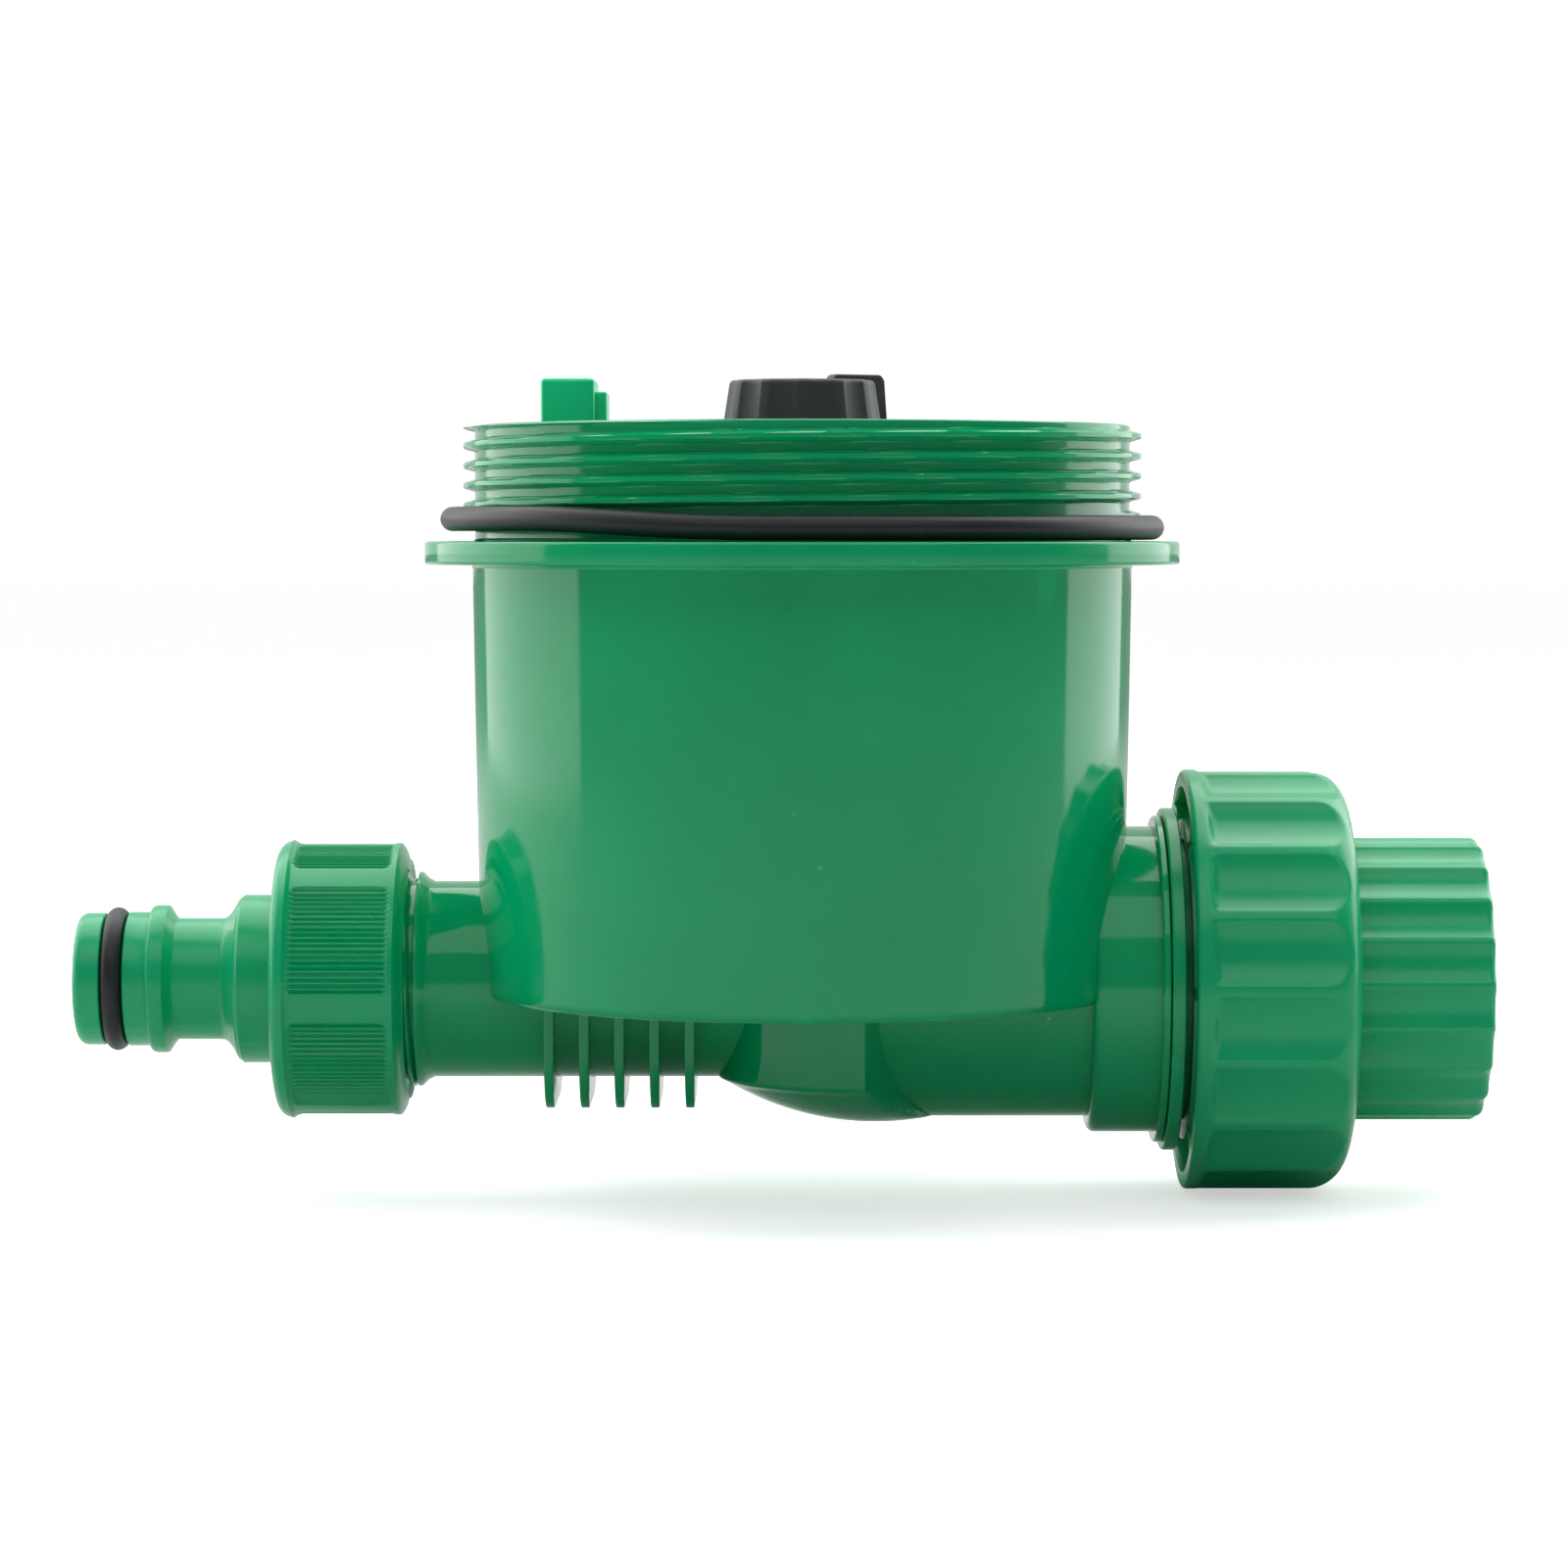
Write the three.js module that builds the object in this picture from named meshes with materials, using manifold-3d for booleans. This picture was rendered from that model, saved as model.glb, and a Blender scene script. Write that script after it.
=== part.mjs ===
// Drip irrigation timer: a motorised ball valve in a round green cup, with a screw-on tap union
// at one end, a quick-fit hose connector at the other and a lift-out control module on top.
// Millimetres, +Z up. The parts are drawn about the cup's axis and the water pipe's axis, and the
// whole timer is then shifted so that its origin is the centre of the tap inlet's mouth.
import * as THREE from 'three';
import { mergeVertices } from 'three/addons/utils/BufferGeometryUtils.js';
import Module from 'manifold-3d';

const wasm = await Module();
wasm.setup();

// ---- clearances ----
// GAP parts pieces that move or pass, SEAT_GAP parts seated faces, OVERLAP sinks joined solids.
const GAP = 0.3;
const SEAT_GAP = 0.1;
const OVERLAP = 0.5;

// ---- ball valve ----
const BALL_R = 12.2;
const BALL_PORT_R = 7.0;
const BALL_ROOM = 0.8;
const BALL_BORE_R = BALL_R + BALL_ROOM;
const VALVE_X = 9.0;
const SEAT_T = 3.8;
const SEAT_INSET = 1.9;
const SEAT_FAR = BALL_R - SEAT_INSET;
const SEAT_NEAR = SEAT_FAR - SEAT_T;
const STEM_R = 3.0;
const STEM_FLANGE_R = 4.6;
const STEM_FLANGE_T = 1.4;
const STEM_FLANGE_LIFT = 0.6;
const STEM_FLANGE_Z = BALL_R + STEM_FLANGE_LIFT;
const STEM_BOSS_R = 6.2;
const STEM_TANG_W = 2.4;
const STEM_TANG_L = 8.0;
const STEM_TANG_H = 3.0;
const STEM_SQUARE = 4.2;
const STEM_RING_CORD = 1.1;
const STEM_RING_LIFTS = [2.8, 5.0];

// ---- water way ----
const FLOW_BORE_R = 9.0;
const INLET_WALL = 3.3;
const INLET_R = BALL_BORE_R + INLET_WALL;
const INLET_STEP_H = 1.85;
const INLET_STEP_R = INLET_R + INLET_STEP_H;
const INLET_STEP_EDGE = 1.2;
const INLET_COLLAR_H = 1.25;
const INLET_COLLAR_R = INLET_STEP_R + INLET_COLLAR_H;
const OUTLET_WALL = 2.65;
const OUTLET_R = FLOW_BORE_R + OUTLET_WALL;
const OUTLET_THREAD_H = 1.15;
const OUTLET_THREAD_R = OUTLET_R + OUTLET_THREAD_H;
const CHAMBER_WALL = 5.8;
const CHAMBER_R = BALL_BORE_R + CHAMBER_WALL;
const CHAMBER_OFFSET = 0.4;
const CHAMBER_X = VALVE_X - CHAMBER_OFFSET;
const CHAMBER_FLOOR_T = 3.8;
const CHAMBER_BOTTOM_Z = -(BALL_BORE_R + CHAMBER_FLOOR_T);
const CHAMBER_ROOF_T = 4.7;
const CHAMBER_TOP_Z = STEM_FLANGE_Z + CHAMBER_ROOF_T;
const CHAMBER_DOME_R = 34.2;
const CHAMBER_BOW_REACH = 8.9;
const CHAMBER_BOW_X = CHAMBER_X + CHAMBER_BOW_REACH;
const CHAMBER_BOW_SLOPE = 0.55;

// ---- gear train: one output wheel, two compound wheels and the motor pinion ----
const GEAR_MODULE = 0.8;
const PRESSURE_DEG = 20;
const BACKLASH = 0.2;
const PINION_TEETH = 10;
const WHEEL_TEETH = 32;
const OUTPUT_TEETH = 36;
const WHEEL_ADDENDUM = 0.6 * GEAR_MODULE;
const CENTRE_SLACK = 0.05;
const GEAR_STEP = 0.6;
const OUTPUT_GEAR_T = 3.9;
const WHEEL_T = 2.4;
const GEAR_B_DEG = 150;
const GEAR_A_DEG = 245;
const PINION_DEG = 298.5;
const AXLE_R = 1.0;

// ---- gearbox ----
const GEARBOX_LIFT = 1.8;
const GEARBOX_FLOOR_Z = CHAMBER_TOP_Z + GEARBOX_LIFT;
const GEARBOX_FLOOR_T = 1.2;
const GEARBOX_WALL = 1.5;
const GEARBOX_ROOM = 2.3;
const PILLAR_R = 3.4;
const PILLAR_INSET = 3.726;
const PILLAR_DEG = 49.086;
const SCREW_R = 1.35;
const SCREW_HEAD_R = 2.8;
const SCREW_HEAD_H = 2.0;
const SCREW_GRIP = 8.0;

// ---- motor and its plug ----
const MOTOR_R = 7.75;
const MOTOR_L = 16.5;
const MOTOR_NOSE_R = 3.0;
const MOTOR_CRADLE_H = 4.0;
const TERMINAL_R = 0.7;
const TERMINAL_H = 1.2;
const TERMINAL_X = 3.0;
const LEAD_R = 0.6;
const PLUG_REACH = 21.859;
const PLUG_DEG = 15.535;
const PLUG_W = 10.0;
const PLUG_D = 6.0;
const PLUG_HEADROOM = 2.8;
const PIN_R = 0.8;
const PIN_PITCH = 4.0;

// ---- housing cup ----
const CUP_R = 38.8;
const CUP_DRAFT = 0.8;
const CUP_BOTTOM_Z = -1.6;
const CUP_EDGE = 1.0;
const CUP_WALL = 2.2;
const FLANGE_T = 2.7;
const FLANGE_REACH = 5.65;
const NECK_STEP = 0.3;
const NECK_H = 13.7;
const CUP_FOOT_R = CUP_R - CUP_DRAFT;
const FLANGE_R = CUP_R + FLANGE_REACH;
const NECK_R = CUP_R - NECK_STEP;
const CUP_INNER_R = NECK_R - CUP_WALL;
const LID_THREAD_PITCH = 2.33;
const LID_THREAD_DEPTH = 1.4;
const LID_THREAD_BASE = 1.43;
const LID_THREAD_CREST = 0.5;
const LID_THREAD_START_Z = 2.85;
const LID_THREAD_LEAD_DEG = -22.5;

// ---- places along the water pipe, from the cup's axis ----
const INLET_STEP_X = CUP_R - 5.3;
const INLET_COLLAR_X = CUP_R + 2.6;
const INLET_END_X = INLET_COLLAR_X + 0.9;
const OUTLET_THREAD_X = -(CUP_R + 6.3);

// ---- stiffening fins under the outlet pipe ----
const FIN_COUNT = 5;
const FIN_PITCH = 4.09;
const FIN_FIRST_X = 9.35 - CUP_R;
const FIN_T = 1.3;
const FIN_HALF_W = OUTLET_R + 1.35;
const FIN_BOTTOM_Z = -(OUTLET_R + 2.95);
const FIN_CORNER_R = 6.0;

// ---- control module: the tray sits above the gearbox and the panel above the motor ----
const MODULE_R = CUP_INNER_R - 2 * GAP;
const CELL_R = 5.25;
const CELL_L = 43.7;
const CELL_NUB_R = 1.9;
const CELL_NUB_L = 0.8;
const CELL_SPACE = 0.5;
const CELL_PITCH = 2 * CELL_R + CELL_SPACE;
const CELL_FIRST_Y = CELL_R + 1.25;
const CELL_LIFT = 0.55;
const SPRING_L = 2.4;
const SPRING_WIRE_R = 0.3;
const SPRING_COILS = 2;
const SPRING_BASE_R = 3.6;
const SPRING_TIP_R = 2.4;
const CONTACT_T = 0.4;
const CONTACT_HALF = 4.0;
const TRAY_T = 1.5;
const TRAY_WALL = 1.2;
const MOTOR_NOTCH_ROOM = 4.25;
const PIN_SLOT_HALF_W = 2.0;
const TRAY_END_ROOM = 0.65;
const TRAY_DEPTH = 2 * CELL_R;
const TRAY_HALF_L = (CELL_L + CELL_NUB_L + SPRING_L) / 2 + TRAY_WALL + TRAY_END_ROOM;
const TRAY_HEADROOM = 0.35;
const PANEL_T = 2.0;
const PANEL_DEPTH = 5.3;
const SKIRT_T = 2.4;
const SEAL_LIFT = 2.9;
const SEAL_CORD = 1.5;
const LABEL_INSET = 2.7;
const LABEL_R = MODULE_R - LABEL_INSET;
const LABEL_T = 0.4;
const BOARD_R = 26.0;
const BOARD_ROOM = 3.1;
const BOARD_DROP = 7.0;
const BOARD_T = 1.6;
const MODULE_SCREW_X = BOARD_R + 2.6;
const MODULE_SCREW_Y = -9.0;
const MODULE_SCREW_R = 0.9;
const MODULE_SCREW_L = 6.0;
const MODULE_SCREW_HEAD_R = 2.2;
const MODULE_SCREW_HEAD_H = 1.6;
const POST_R = 3.0;
const POST_BORE_R = MODULE_SCREW_R + GAP;

// ---- knob, button, light and pull tab ----
const KNOB_FOOT_R = 10.1;
const KNOB_TAPER = 1.6;
const KNOB_TOP_R = KNOB_FOOT_R - KNOB_TAPER;
const KNOB_H = 10.7;
const KNOB_FLUTES = 12;
const KNOB_FIN_RISE = 0.8;
const KNOB_FIN_REACH = KNOB_TOP_R + 1.2;
const KNOB_FIN_DEG = 28;
const KNOB_FIN_T = 2.4;
const KNOB_FIN_IN = 3.6;
const KNOB_FLUTE_DEPTH = 0.5;
const KNOB_SKIN = 4.0;
const SHAFT_R = 3.0;
const SWITCH_W = 14.0;
const SWITCH_H = BOARD_DROP - PANEL_T - BOARD_T - SEAT_GAP - GAP;
const SWITCH_FLOOR_T = 0.8;
const BUTTON_R = 3.0;
const BUTTON_RISE = 2.0;
const BUTTON_FLANGE_T = 0.9;
const BUTTON_SWITCH_H = 0.8;
const BUTTON_X = 0;
const BUTTON_Y = -21.5;
const LIGHT_R = 1.6;
const LIGHT_RISE = 0.6;
const LIGHT_X = 13.0;
const LIGHT_Y = -18.5;
const TAB_INSET = 5.65;
const TAB_X = TAB_INSET - LABEL_R;
const TAB_T = 6.3;
const TAB_W = 13.0;
const TAB_H = 10.8;
const TAB_RIB_T = 1.4;
const TAB_RIB_W = 9.0;
const TAB_RIB_DROP = 1.5;

// ---- seal ring for the screw-on lid ----
const LID_RING_CORD = 2.9;
const LID_RING_SLACK = 1.2;
const LID_RING_R = NECK_R + LID_RING_CORD / 2 + LID_RING_SLACK;
const LID_RING_LIFT = 1.45;

// ---- inlet nipple, union nut and tap adaptor ----
const DISC_R = INLET_COLLAR_R + 0.9;
const DISC_END_X = INLET_END_X + 1.7;
const NIPPLE_NECK_R = 16.3;
const NIPPLE_RING_X = INLET_END_X - 11.3;
const NIPPLE_RING_CORD = 1.6;
const SNAP_H = 1.5;
const SNAP_R = NIPPLE_NECK_R + SNAP_H;
const ADAPTOR_THREAD_R = 16.6;
const THREAD_PLAY = 0.45;
const NUT_WALL = 7.8;
const NUT_L = 19.1;
const NUT_BORE_R = ADAPTOR_THREAD_R + THREAD_PLAY;
const NUT_R = NUT_BORE_R + NUT_WALL;
const NUT_FLUTES = 18;
const NUT_FLUTE_DEPTH = 1.15;
const NUT_RIM_T = 1.5;
const NUT_ROUND = 4.5;
const NUT_WEB_T = 2.2;
const NUT_POCKET_IN_R = NUT_R - 5.65;
const NUT_POCKET_OUT_R = NUT_R - 2.25;
const NUT_POCKET_RIBS = 6;
const NUT_POCKET_RIB_T = 1.2;
const NUT_POCKET_DEPTH = 2.0;
const NUT_X = DISC_END_X + 0.9;
const NUT_END_X = NUT_X + NUT_L;
const NUT_WEB_X = NUT_X + NUT_RIM_T;
const SNAP_X = NUT_WEB_X + NUT_WEB_T + 0.4;
const NIPPLE_END_X = SNAP_X + 2.0;
const WASHER_T = 2.0;
const ADAPTOR_R = ADAPTOR_THREAD_R + 0.15;
const ADAPTOR_GRIP_L = 16.06;
const ADAPTOR_END_X = NUT_END_X + ADAPTOR_GRIP_L;
const ADAPTOR_FLUTES = 20;
const ADAPTOR_FLUTE_DEPTH = 0.7;
const TAP_BORE_R = 13.0;
const TAP_DEPTH = 13.5;
const FILTER_RING_T = 2.0;
const FILTER_BARS = 2;
const FILTER_BAR_W = 0.8;

// ---- hose connector, from the outlet's thread to the tip of the nose ----
const NOSE_R = 7.86;
const NOSE_BORE_R = 4.3;
const NOSE_EDGE = 1.2;
const NOSE_RING_PROUD = 0.64;
const NOSE_RING_R = NOSE_R + NOSE_RING_PROUD;
const NOSE_RING_CORD = 2.6;
const LAND_R = NOSE_R + 0.12;
const LATCH_COLLAR_R = NOSE_R + 0.93;
const LATCH_COLLAR_HALF = 1.3;
const LATCH_NECK_R = NOSE_R - 0.63;
const SHOULDER_R = 10.0;
const SKIRT_WALL = 3.3;
const SKIRT_R = OUTLET_THREAD_R + SKIRT_WALL;
const SKIRT_RING_R = SKIRT_R + 0.4;
const SKIRT_END_R = SKIRT_R - 1.9;
const SKIRT_L = 15.5;
const SKIRT_END_X = OUTLET_THREAD_X - 1.2;
const SKIRT_X = SKIRT_END_X - SKIRT_L;
const SOCKET_X = SKIRT_X + 2.3;
const SHOULDER_X = SKIRT_X - 4.2;
const LATCH_NECK_END_X = SHOULDER_X - 2.6;
const LATCH_COLLAR_X = LATCH_NECK_END_X - 7.1;
const NOSE_RING_X = LATCH_COLLAR_X - 5.3;
const NOSE_TIP_X = NOSE_RING_X - 4.6;
const HOSE_WASHER_T = 1.7;

// ---- facet counts ----
const ROUND = 32;
const MIDDLE = 24;
const SMALL = 16;
const TINY = 8;

// ---- solids: every closed mesh becomes an exact solid, so that it can be joined and cut ----
function solid(geometry) {
  const bare = geometry.clone();
  bare.deleteAttribute('normal');
  bare.deleteAttribute('uv');
  const merged = mergeVertices(bare, 1e-4);
  const corners = Array.from(merged.index.array);
  const points = Float32Array.from(merged.attributes.position.array);
  const triangles = [];
  for (let i = 0; i < corners.length; i += 3) {
    const [a, b, c] = corners.slice(i, i + 3);
    if (a !== b && b !== c && c !== a) triangles.push(a, b, c);
  }
  if (signedVolume(points, triangles) < 0) triangles.reverse();
  return new wasm.Manifold(new wasm.Mesh({
    numProp: 3,
    vertProperties: points,
    triVerts: Uint32Array.from(triangles),
  }));
}

function signedVolume(points, triangles) {
  const corner = (k) => new THREE.Vector3(points[3 * k], points[3 * k + 1], points[3 * k + 2]);
  let total = 0;
  for (let i = 0; i < triangles.length; i += 3) {
    const [a, b, c] = triangles.slice(i, i + 3).map(corner);
    total += a.dot(b.cross(c));
  }
  return total;
}

function join(first, ...others) {
  return others.reduce((sum, other) => sum.add(other), first);
}

function cut(body, ...tools) {
  return tools.reduce((rest, tool) => rest.subtract(tool), body);
}

function move(body, x, y, z) {
  return body.translate([x, y, z]);
}

// ---- shapes turned about +Z, from [radius, height] points ----
function turned(points, segments = ROUND) {
  const profile = points.map(([r, z]) => new THREE.Vector2(r, z));
  if (points[0][0] > 0) profile.push(profile[0].clone());
  return solid(new THREE.LatheGeometry(profile, segments).rotateX(Math.PI / 2));
}

// ---- shapes turned about +X, from [x, radius] points ----
function turnedX(points, segments = ROUND) {
  const profile = points.map(([x, r]) => new THREE.Vector2(r, x));
  if (points[0][1] > 0) profile.push(profile[0].clone());
  return solid(new THREE.LatheGeometry(profile, segments).rotateX(Math.PI / 2).rotateY(Math.PI / 2));
}

function rod(r, z0, z1, segments = SMALL) {
  return turned([[0, z0], [r, z0], [r, z1], [0, z1]], segments);
}

function rodX(r, x0, x1, segments = MIDDLE) {
  return turnedX([[x0, 0], [x0, r], [x1, r], [x1, 0]], segments);
}

function tube(inner, outer, z0, z1, segments = MIDDLE) {
  return turned([[inner, z0], [outer, z0], [outer, z1], [inner, z1]], segments);
}

function tubeX(inner, outer, x0, x1, segments = MIDDLE) {
  return turnedX([[x0, inner], [x0, outer], [x1, outer], [x1, inner]], segments);
}

function box(x0, x1, y0, y1, z0, z1) {
  const shape = new THREE.BoxGeometry(x1 - x0, y1 - y0, z1 - z0);
  return solid(shape.translate((x0 + x1) / 2, (y0 + y1) / 2, (z0 + z1) / 2));
}

function prism(outline, z0, z1) {
  const shape = new THREE.Shape(outline.map(([x, y]) => new THREE.Vector2(x, y)));
  const geometry = new THREE.ExtrudeGeometry(shape, { depth: z1 - z0, bevelEnabled: false });
  return solid(geometry.translate(0, 0, z0));
}

function prismX(outline, x0, x1) {
  const shape = new THREE.Shape(outline.map(([y, z]) => new THREE.Vector2(y, z)));
  const geometry = new THREE.ExtrudeGeometry(shape, { depth: x1 - x0, bevelEnabled: false });
  geometry.rotateX(Math.PI / 2).rotateZ(Math.PI / 2);
  return solid(geometry.translate(x0, 0, 0));
}

// A ring of round cord about +Z.
function cordRing(ringR, cord, segments = MIDDLE, sides = 8) {
  return solid(new THREE.TorusGeometry(ringR, cord / 2, sides, segments));
}

// A round wire along a list of points.
function wire(points, r, steps, sides = 8) {
  const path = new THREE.CatmullRomCurve3(points.map((p) => new THREE.Vector3(...p)));
  const section = new THREE.Shape();
  section.absarc(0, 0, r, 0, 2 * Math.PI);
  const options = { steps, extrudePath: path, curveSegments: sides, bevelEnabled: false };
  return solid(new THREE.ExtrudeGeometry(section, options));
}

// Points of an arc about (cx, cy), from one angle to another in degrees.
function arc(cx, cy, r, from, to, count) {
  const points = [];
  for (let i = 0; i <= count; i += 1) {
    const angle = THREE.MathUtils.degToRad(from + ((to - from) * i) / count);
    points.push([cx + r * Math.cos(angle), cy + r * Math.sin(angle)]);
  }
  return points;
}

// A closed outline whose radius dips to (radius - depth) in the middle of each flute.
function flutedOutline(radius, depth, flutes, offsetDeg, pointsPerFlute = 4) {
  const outline = [];
  const total = flutes * pointsPerFlute;
  for (let i = 0; i < total; i += 1) {
    const share = (i % pointsPerFlute) / pointsPerFlute;
    const angle = (2 * Math.PI * i) / total + THREE.MathUtils.degToRad(offsetDeg);
    const r = radius - depth * Math.sin(Math.PI * share);
    outline.push([r * Math.cos(angle), r * Math.sin(angle)]);
  }
  return outline;
}

// A single-start right-hand screw ridge of trapezoid section, climbing along +Z.
function screwRidge(rootR, depth, base, crest, pitch, startZ, startDeg, turns, perTurn = ROUND) {
  const section = [
    [rootR - OVERLAP, -base / 2], [rootR + depth, -crest / 2],
    [rootR + depth, crest / 2], [rootR - OVERLAP, base / 2],
  ];
  const steps = Math.round(turns * perTurn);
  const points = [];
  for (let i = 0; i <= steps; i += 1) {
    const turn = i / perTurn;
    const angle = THREE.MathUtils.degToRad(startDeg) + 2 * Math.PI * turn;
    for (const [r, dz] of section) {
      points.push(r * Math.cos(angle), r * Math.sin(angle), startZ + pitch * turn + dz);
    }
  }
  const n = section.length;
  const faces = [];
  for (let i = 0; i < steps; i += 1) {
    for (let j = 0; j < n; j += 1) {
      const a = i * n + j;
      const b = i * n + ((j + 1) % n);
      faces.push(a, b, b + n, a, b + n, a + n);
    }
  }
  for (let j = 1; j < n - 1; j += 1) {
    faces.push(0, j + 1, j);
    faces.push(steps * n, steps * n + j, steps * n + j + 1);
  }
  const geometry = new THREE.BufferGeometry();
  geometry.setAttribute('position', new THREE.Float32BufferAttribute(points, 3));
  geometry.setIndex(faces);
  return solid(geometry);
}

// ---- the assembly: each finished solid becomes one named mesh ----
const timer = new THREE.Group();

function piece(name, body, finish) {
  const mesh = body.getMesh();
  const geometry = new THREE.BufferGeometry();
  geometry.setAttribute('position', new THREE.BufferAttribute(Float32Array.from(mesh.vertProperties), 3));
  geometry.setIndex(Array.from(mesh.triVerts));
  geometry.computeVertexNormals();
  const node = new THREE.Mesh(geometry, new THREE.MeshStandardMaterial(finish));
  node.name = name;
  timer.add(node);
  return node;
}

const GREEN = { color: 0x1d8957, roughness: 0.3, metalness: 0 };
const LIGHT_GREEN = { color: 0x25a167, roughness: 0.35, metalness: 0 };
const BLACK = { color: 0x3a3d3c, roughness: 0.55, metalness: 0 };
const RUBBER = { color: 0x1e2525, roughness: 0.6, metalness: 0 };
const WHITE_PLASTIC = { color: 0xe6e4da, roughness: 0.4, metalness: 0 };
const GREY_PLASTIC = { color: 0x8b8f92, roughness: 0.5, metalness: 0 };
const STEEL = { color: 0xb9bcc0, roughness: 0.3, metalness: 1 };
const BRASS = { color: 0xc9a24d, roughness: 0.3, metalness: 1 };
const BOARD = { color: 0x1f5b3a, roughness: 0.5, metalness: 0 };
const CELL = { color: 0x2b4f8a, roughness: 0.35, metalness: 0.2 };
const LENS = { color: 0xd03a2c, roughness: 0.15, metalness: 0 };
const LABEL = { color: 0x202422, roughness: 0.5, metalness: 0 };
const RED_WIRE = { color: 0xb3261e, roughness: 0.5, metalness: 0 };

// ---- places that follow from the driving dimensions ----
const OUTLET_END_X = SOCKET_X + HOSE_WASHER_T + 2 * SEAT_GAP;
const ADAPTOR_X = NIPPLE_END_X + WASHER_T + 2 * SEAT_GAP;
const GEARBOX_BASE_TOP_Z = GEARBOX_FLOOR_Z + GEARBOX_FLOOR_T;
const STEM_BOSS_TOP_Z = GEARBOX_BASE_TOP_Z - 2 * SEAT_GAP;
const STEM_RING_ZS = STEM_RING_LIFTS.map((lift) => STEM_FLANGE_Z + lift);
const LAYER_LOW = gearLayer(GEARBOX_BASE_TOP_Z, OUTPUT_GEAR_T);
const LAYER_MID = gearLayer(LAYER_LOW[1], WHEEL_T);
const LAYER_TOP = gearLayer(LAYER_MID[1], WHEEL_T);
const GEARBOX_TOP_Z = LAYER_TOP[1] + GEAR_STEP + GEARBOX_WALL;
const GEARBOX_R = CUP_FOOT_R - CUP_WALL - GEARBOX_ROOM;
const MOTOR_FOOT_Z = GEARBOX_TOP_Z + GAP;
const MOTOR_HEAD_Z = MOTOR_FOOT_Z + MOTOR_L;
const CELL_Z = GEARBOX_TOP_Z + SCREW_HEAD_H + CELL_LIFT + CELL_R;
const TRAY_FLOOR_Z = CELL_Z + CELL_R + TRAY_HEADROOM;
const TRAY_TOP_Z = TRAY_FLOOR_Z + TRAY_T;
const SKIRT_BOTTOM_Z = TRAY_TOP_Z + SEAT_GAP;
const SEAL_Z = SKIRT_BOTTOM_Z + SEAL_LIFT;
const BOARD_Z = MOTOR_HEAD_Z + BOARD_ROOM;
const PANEL_Z = BOARD_Z + BOARD_DROP;
const KNOB_TOP_Z = PANEL_Z + KNOB_H;
const KNOB_FIN_TOP_Z = KNOB_TOP_Z + KNOB_FIN_RISE;
const TAB_TOP_Z = PANEL_Z + TAB_H;
const TAB_RIB_TOP_Z = TAB_TOP_Z - TAB_RIB_DROP;
const RIM_Z = PANEL_Z + PANEL_DEPTH;
const FLANGE_TOP_Z = RIM_Z - NECK_H;
const FLANGE_Z = FLANGE_TOP_Z - FLANGE_T;

function gearLayer(below, thickness) {
  return [below + GEAR_STEP, below + GEAR_STEP + thickness];
}

function gearCentre(from, teethA, teethB, directionDeg) {
  const distance = (GEAR_MODULE * (teethA + teethB)) / 2 + CENTRE_SLACK;
  const angle = THREE.MathUtils.degToRad(directionDeg);
  return [from[0] + distance * Math.cos(angle), from[1] + distance * Math.sin(angle)];
}

const VALVE_AT = [VALVE_X, 0];
const GEAR_B_AT = gearCentre(VALVE_AT, OUTPUT_TEETH, PINION_TEETH, GEAR_B_DEG);
const GEAR_A_AT = gearCentre(GEAR_B_AT, WHEEL_TEETH, PINION_TEETH, GEAR_A_DEG);
const MOTOR_AT = gearCentre(GEAR_A_AT, WHEEL_TEETH, PINION_TEETH, PINION_DEG);
const PLUG_AT = [
  MOTOR_AT[0] + PLUG_REACH * Math.cos(THREE.MathUtils.degToRad(PLUG_DEG)),
  MOTOR_AT[1] + PLUG_REACH * Math.sin(THREE.MathUtils.degToRad(PLUG_DEG)),
];
const SCREW_AT = [PILLAR_DEG, 180 - PILLAR_DEG, 180 + PILLAR_DEG, -PILLAR_DEG].map((deg) => {
  const turn = THREE.MathUtils.degToRad(deg);
  const ringR = GEARBOX_R - PILLAR_INSET;
  return [ringR * Math.cos(turn), ringR * Math.sin(turn)];
});
const MODULE_SCREW_AT = [-1, 1].map((side) => [side * MODULE_SCREW_X, MODULE_SCREW_Y]);

function at([x, y], body, z = 0) {
  return move(body, x, y, z);
}

// ---- housing ----
function cupBody() {
  return turned([
    [0, CUP_BOTTOM_Z], [CUP_FOOT_R - CUP_EDGE, CUP_BOTTOM_Z],
    [CUP_FOOT_R - CUP_EDGE / 4, CUP_BOTTOM_Z + CUP_EDGE / 4], [CUP_FOOT_R, CUP_BOTTOM_Z + CUP_EDGE],
    [CUP_R, FLANGE_Z], [FLANGE_R, FLANGE_Z], [FLANGE_R, FLANGE_TOP_Z],
    [NECK_R, FLANGE_TOP_Z], [NECK_R, RIM_Z], [0, RIM_Z],
  ]);
}

function cupCavity() {
  const floorZ = CUP_BOTTOM_Z + CUP_WALL;
  return turned([
    [0, floorZ], [CUP_FOOT_R - CUP_WALL, floorZ], [CUP_INNER_R, FLANGE_Z],
    [CUP_INNER_R, RIM_Z + OVERLAP], [0, RIM_Z + OVERLAP],
  ]);
}

function lidThread() {
  const startZ = FLANGE_TOP_Z + LID_THREAD_START_Z;
  const turns = (RIM_Z - startZ) / LID_THREAD_PITCH + 0.5;
  const ridge = screwRidge(NECK_R, LID_THREAD_DEPTH, LID_THREAD_BASE, LID_THREAD_CREST,
    LID_THREAD_PITCH, startZ, LID_THREAD_LEAD_DEG, turns, SMALL);
  return ridge.intersect(rod(FLANGE_R, FLANGE_TOP_Z, RIM_Z, ROUND));
}

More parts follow.
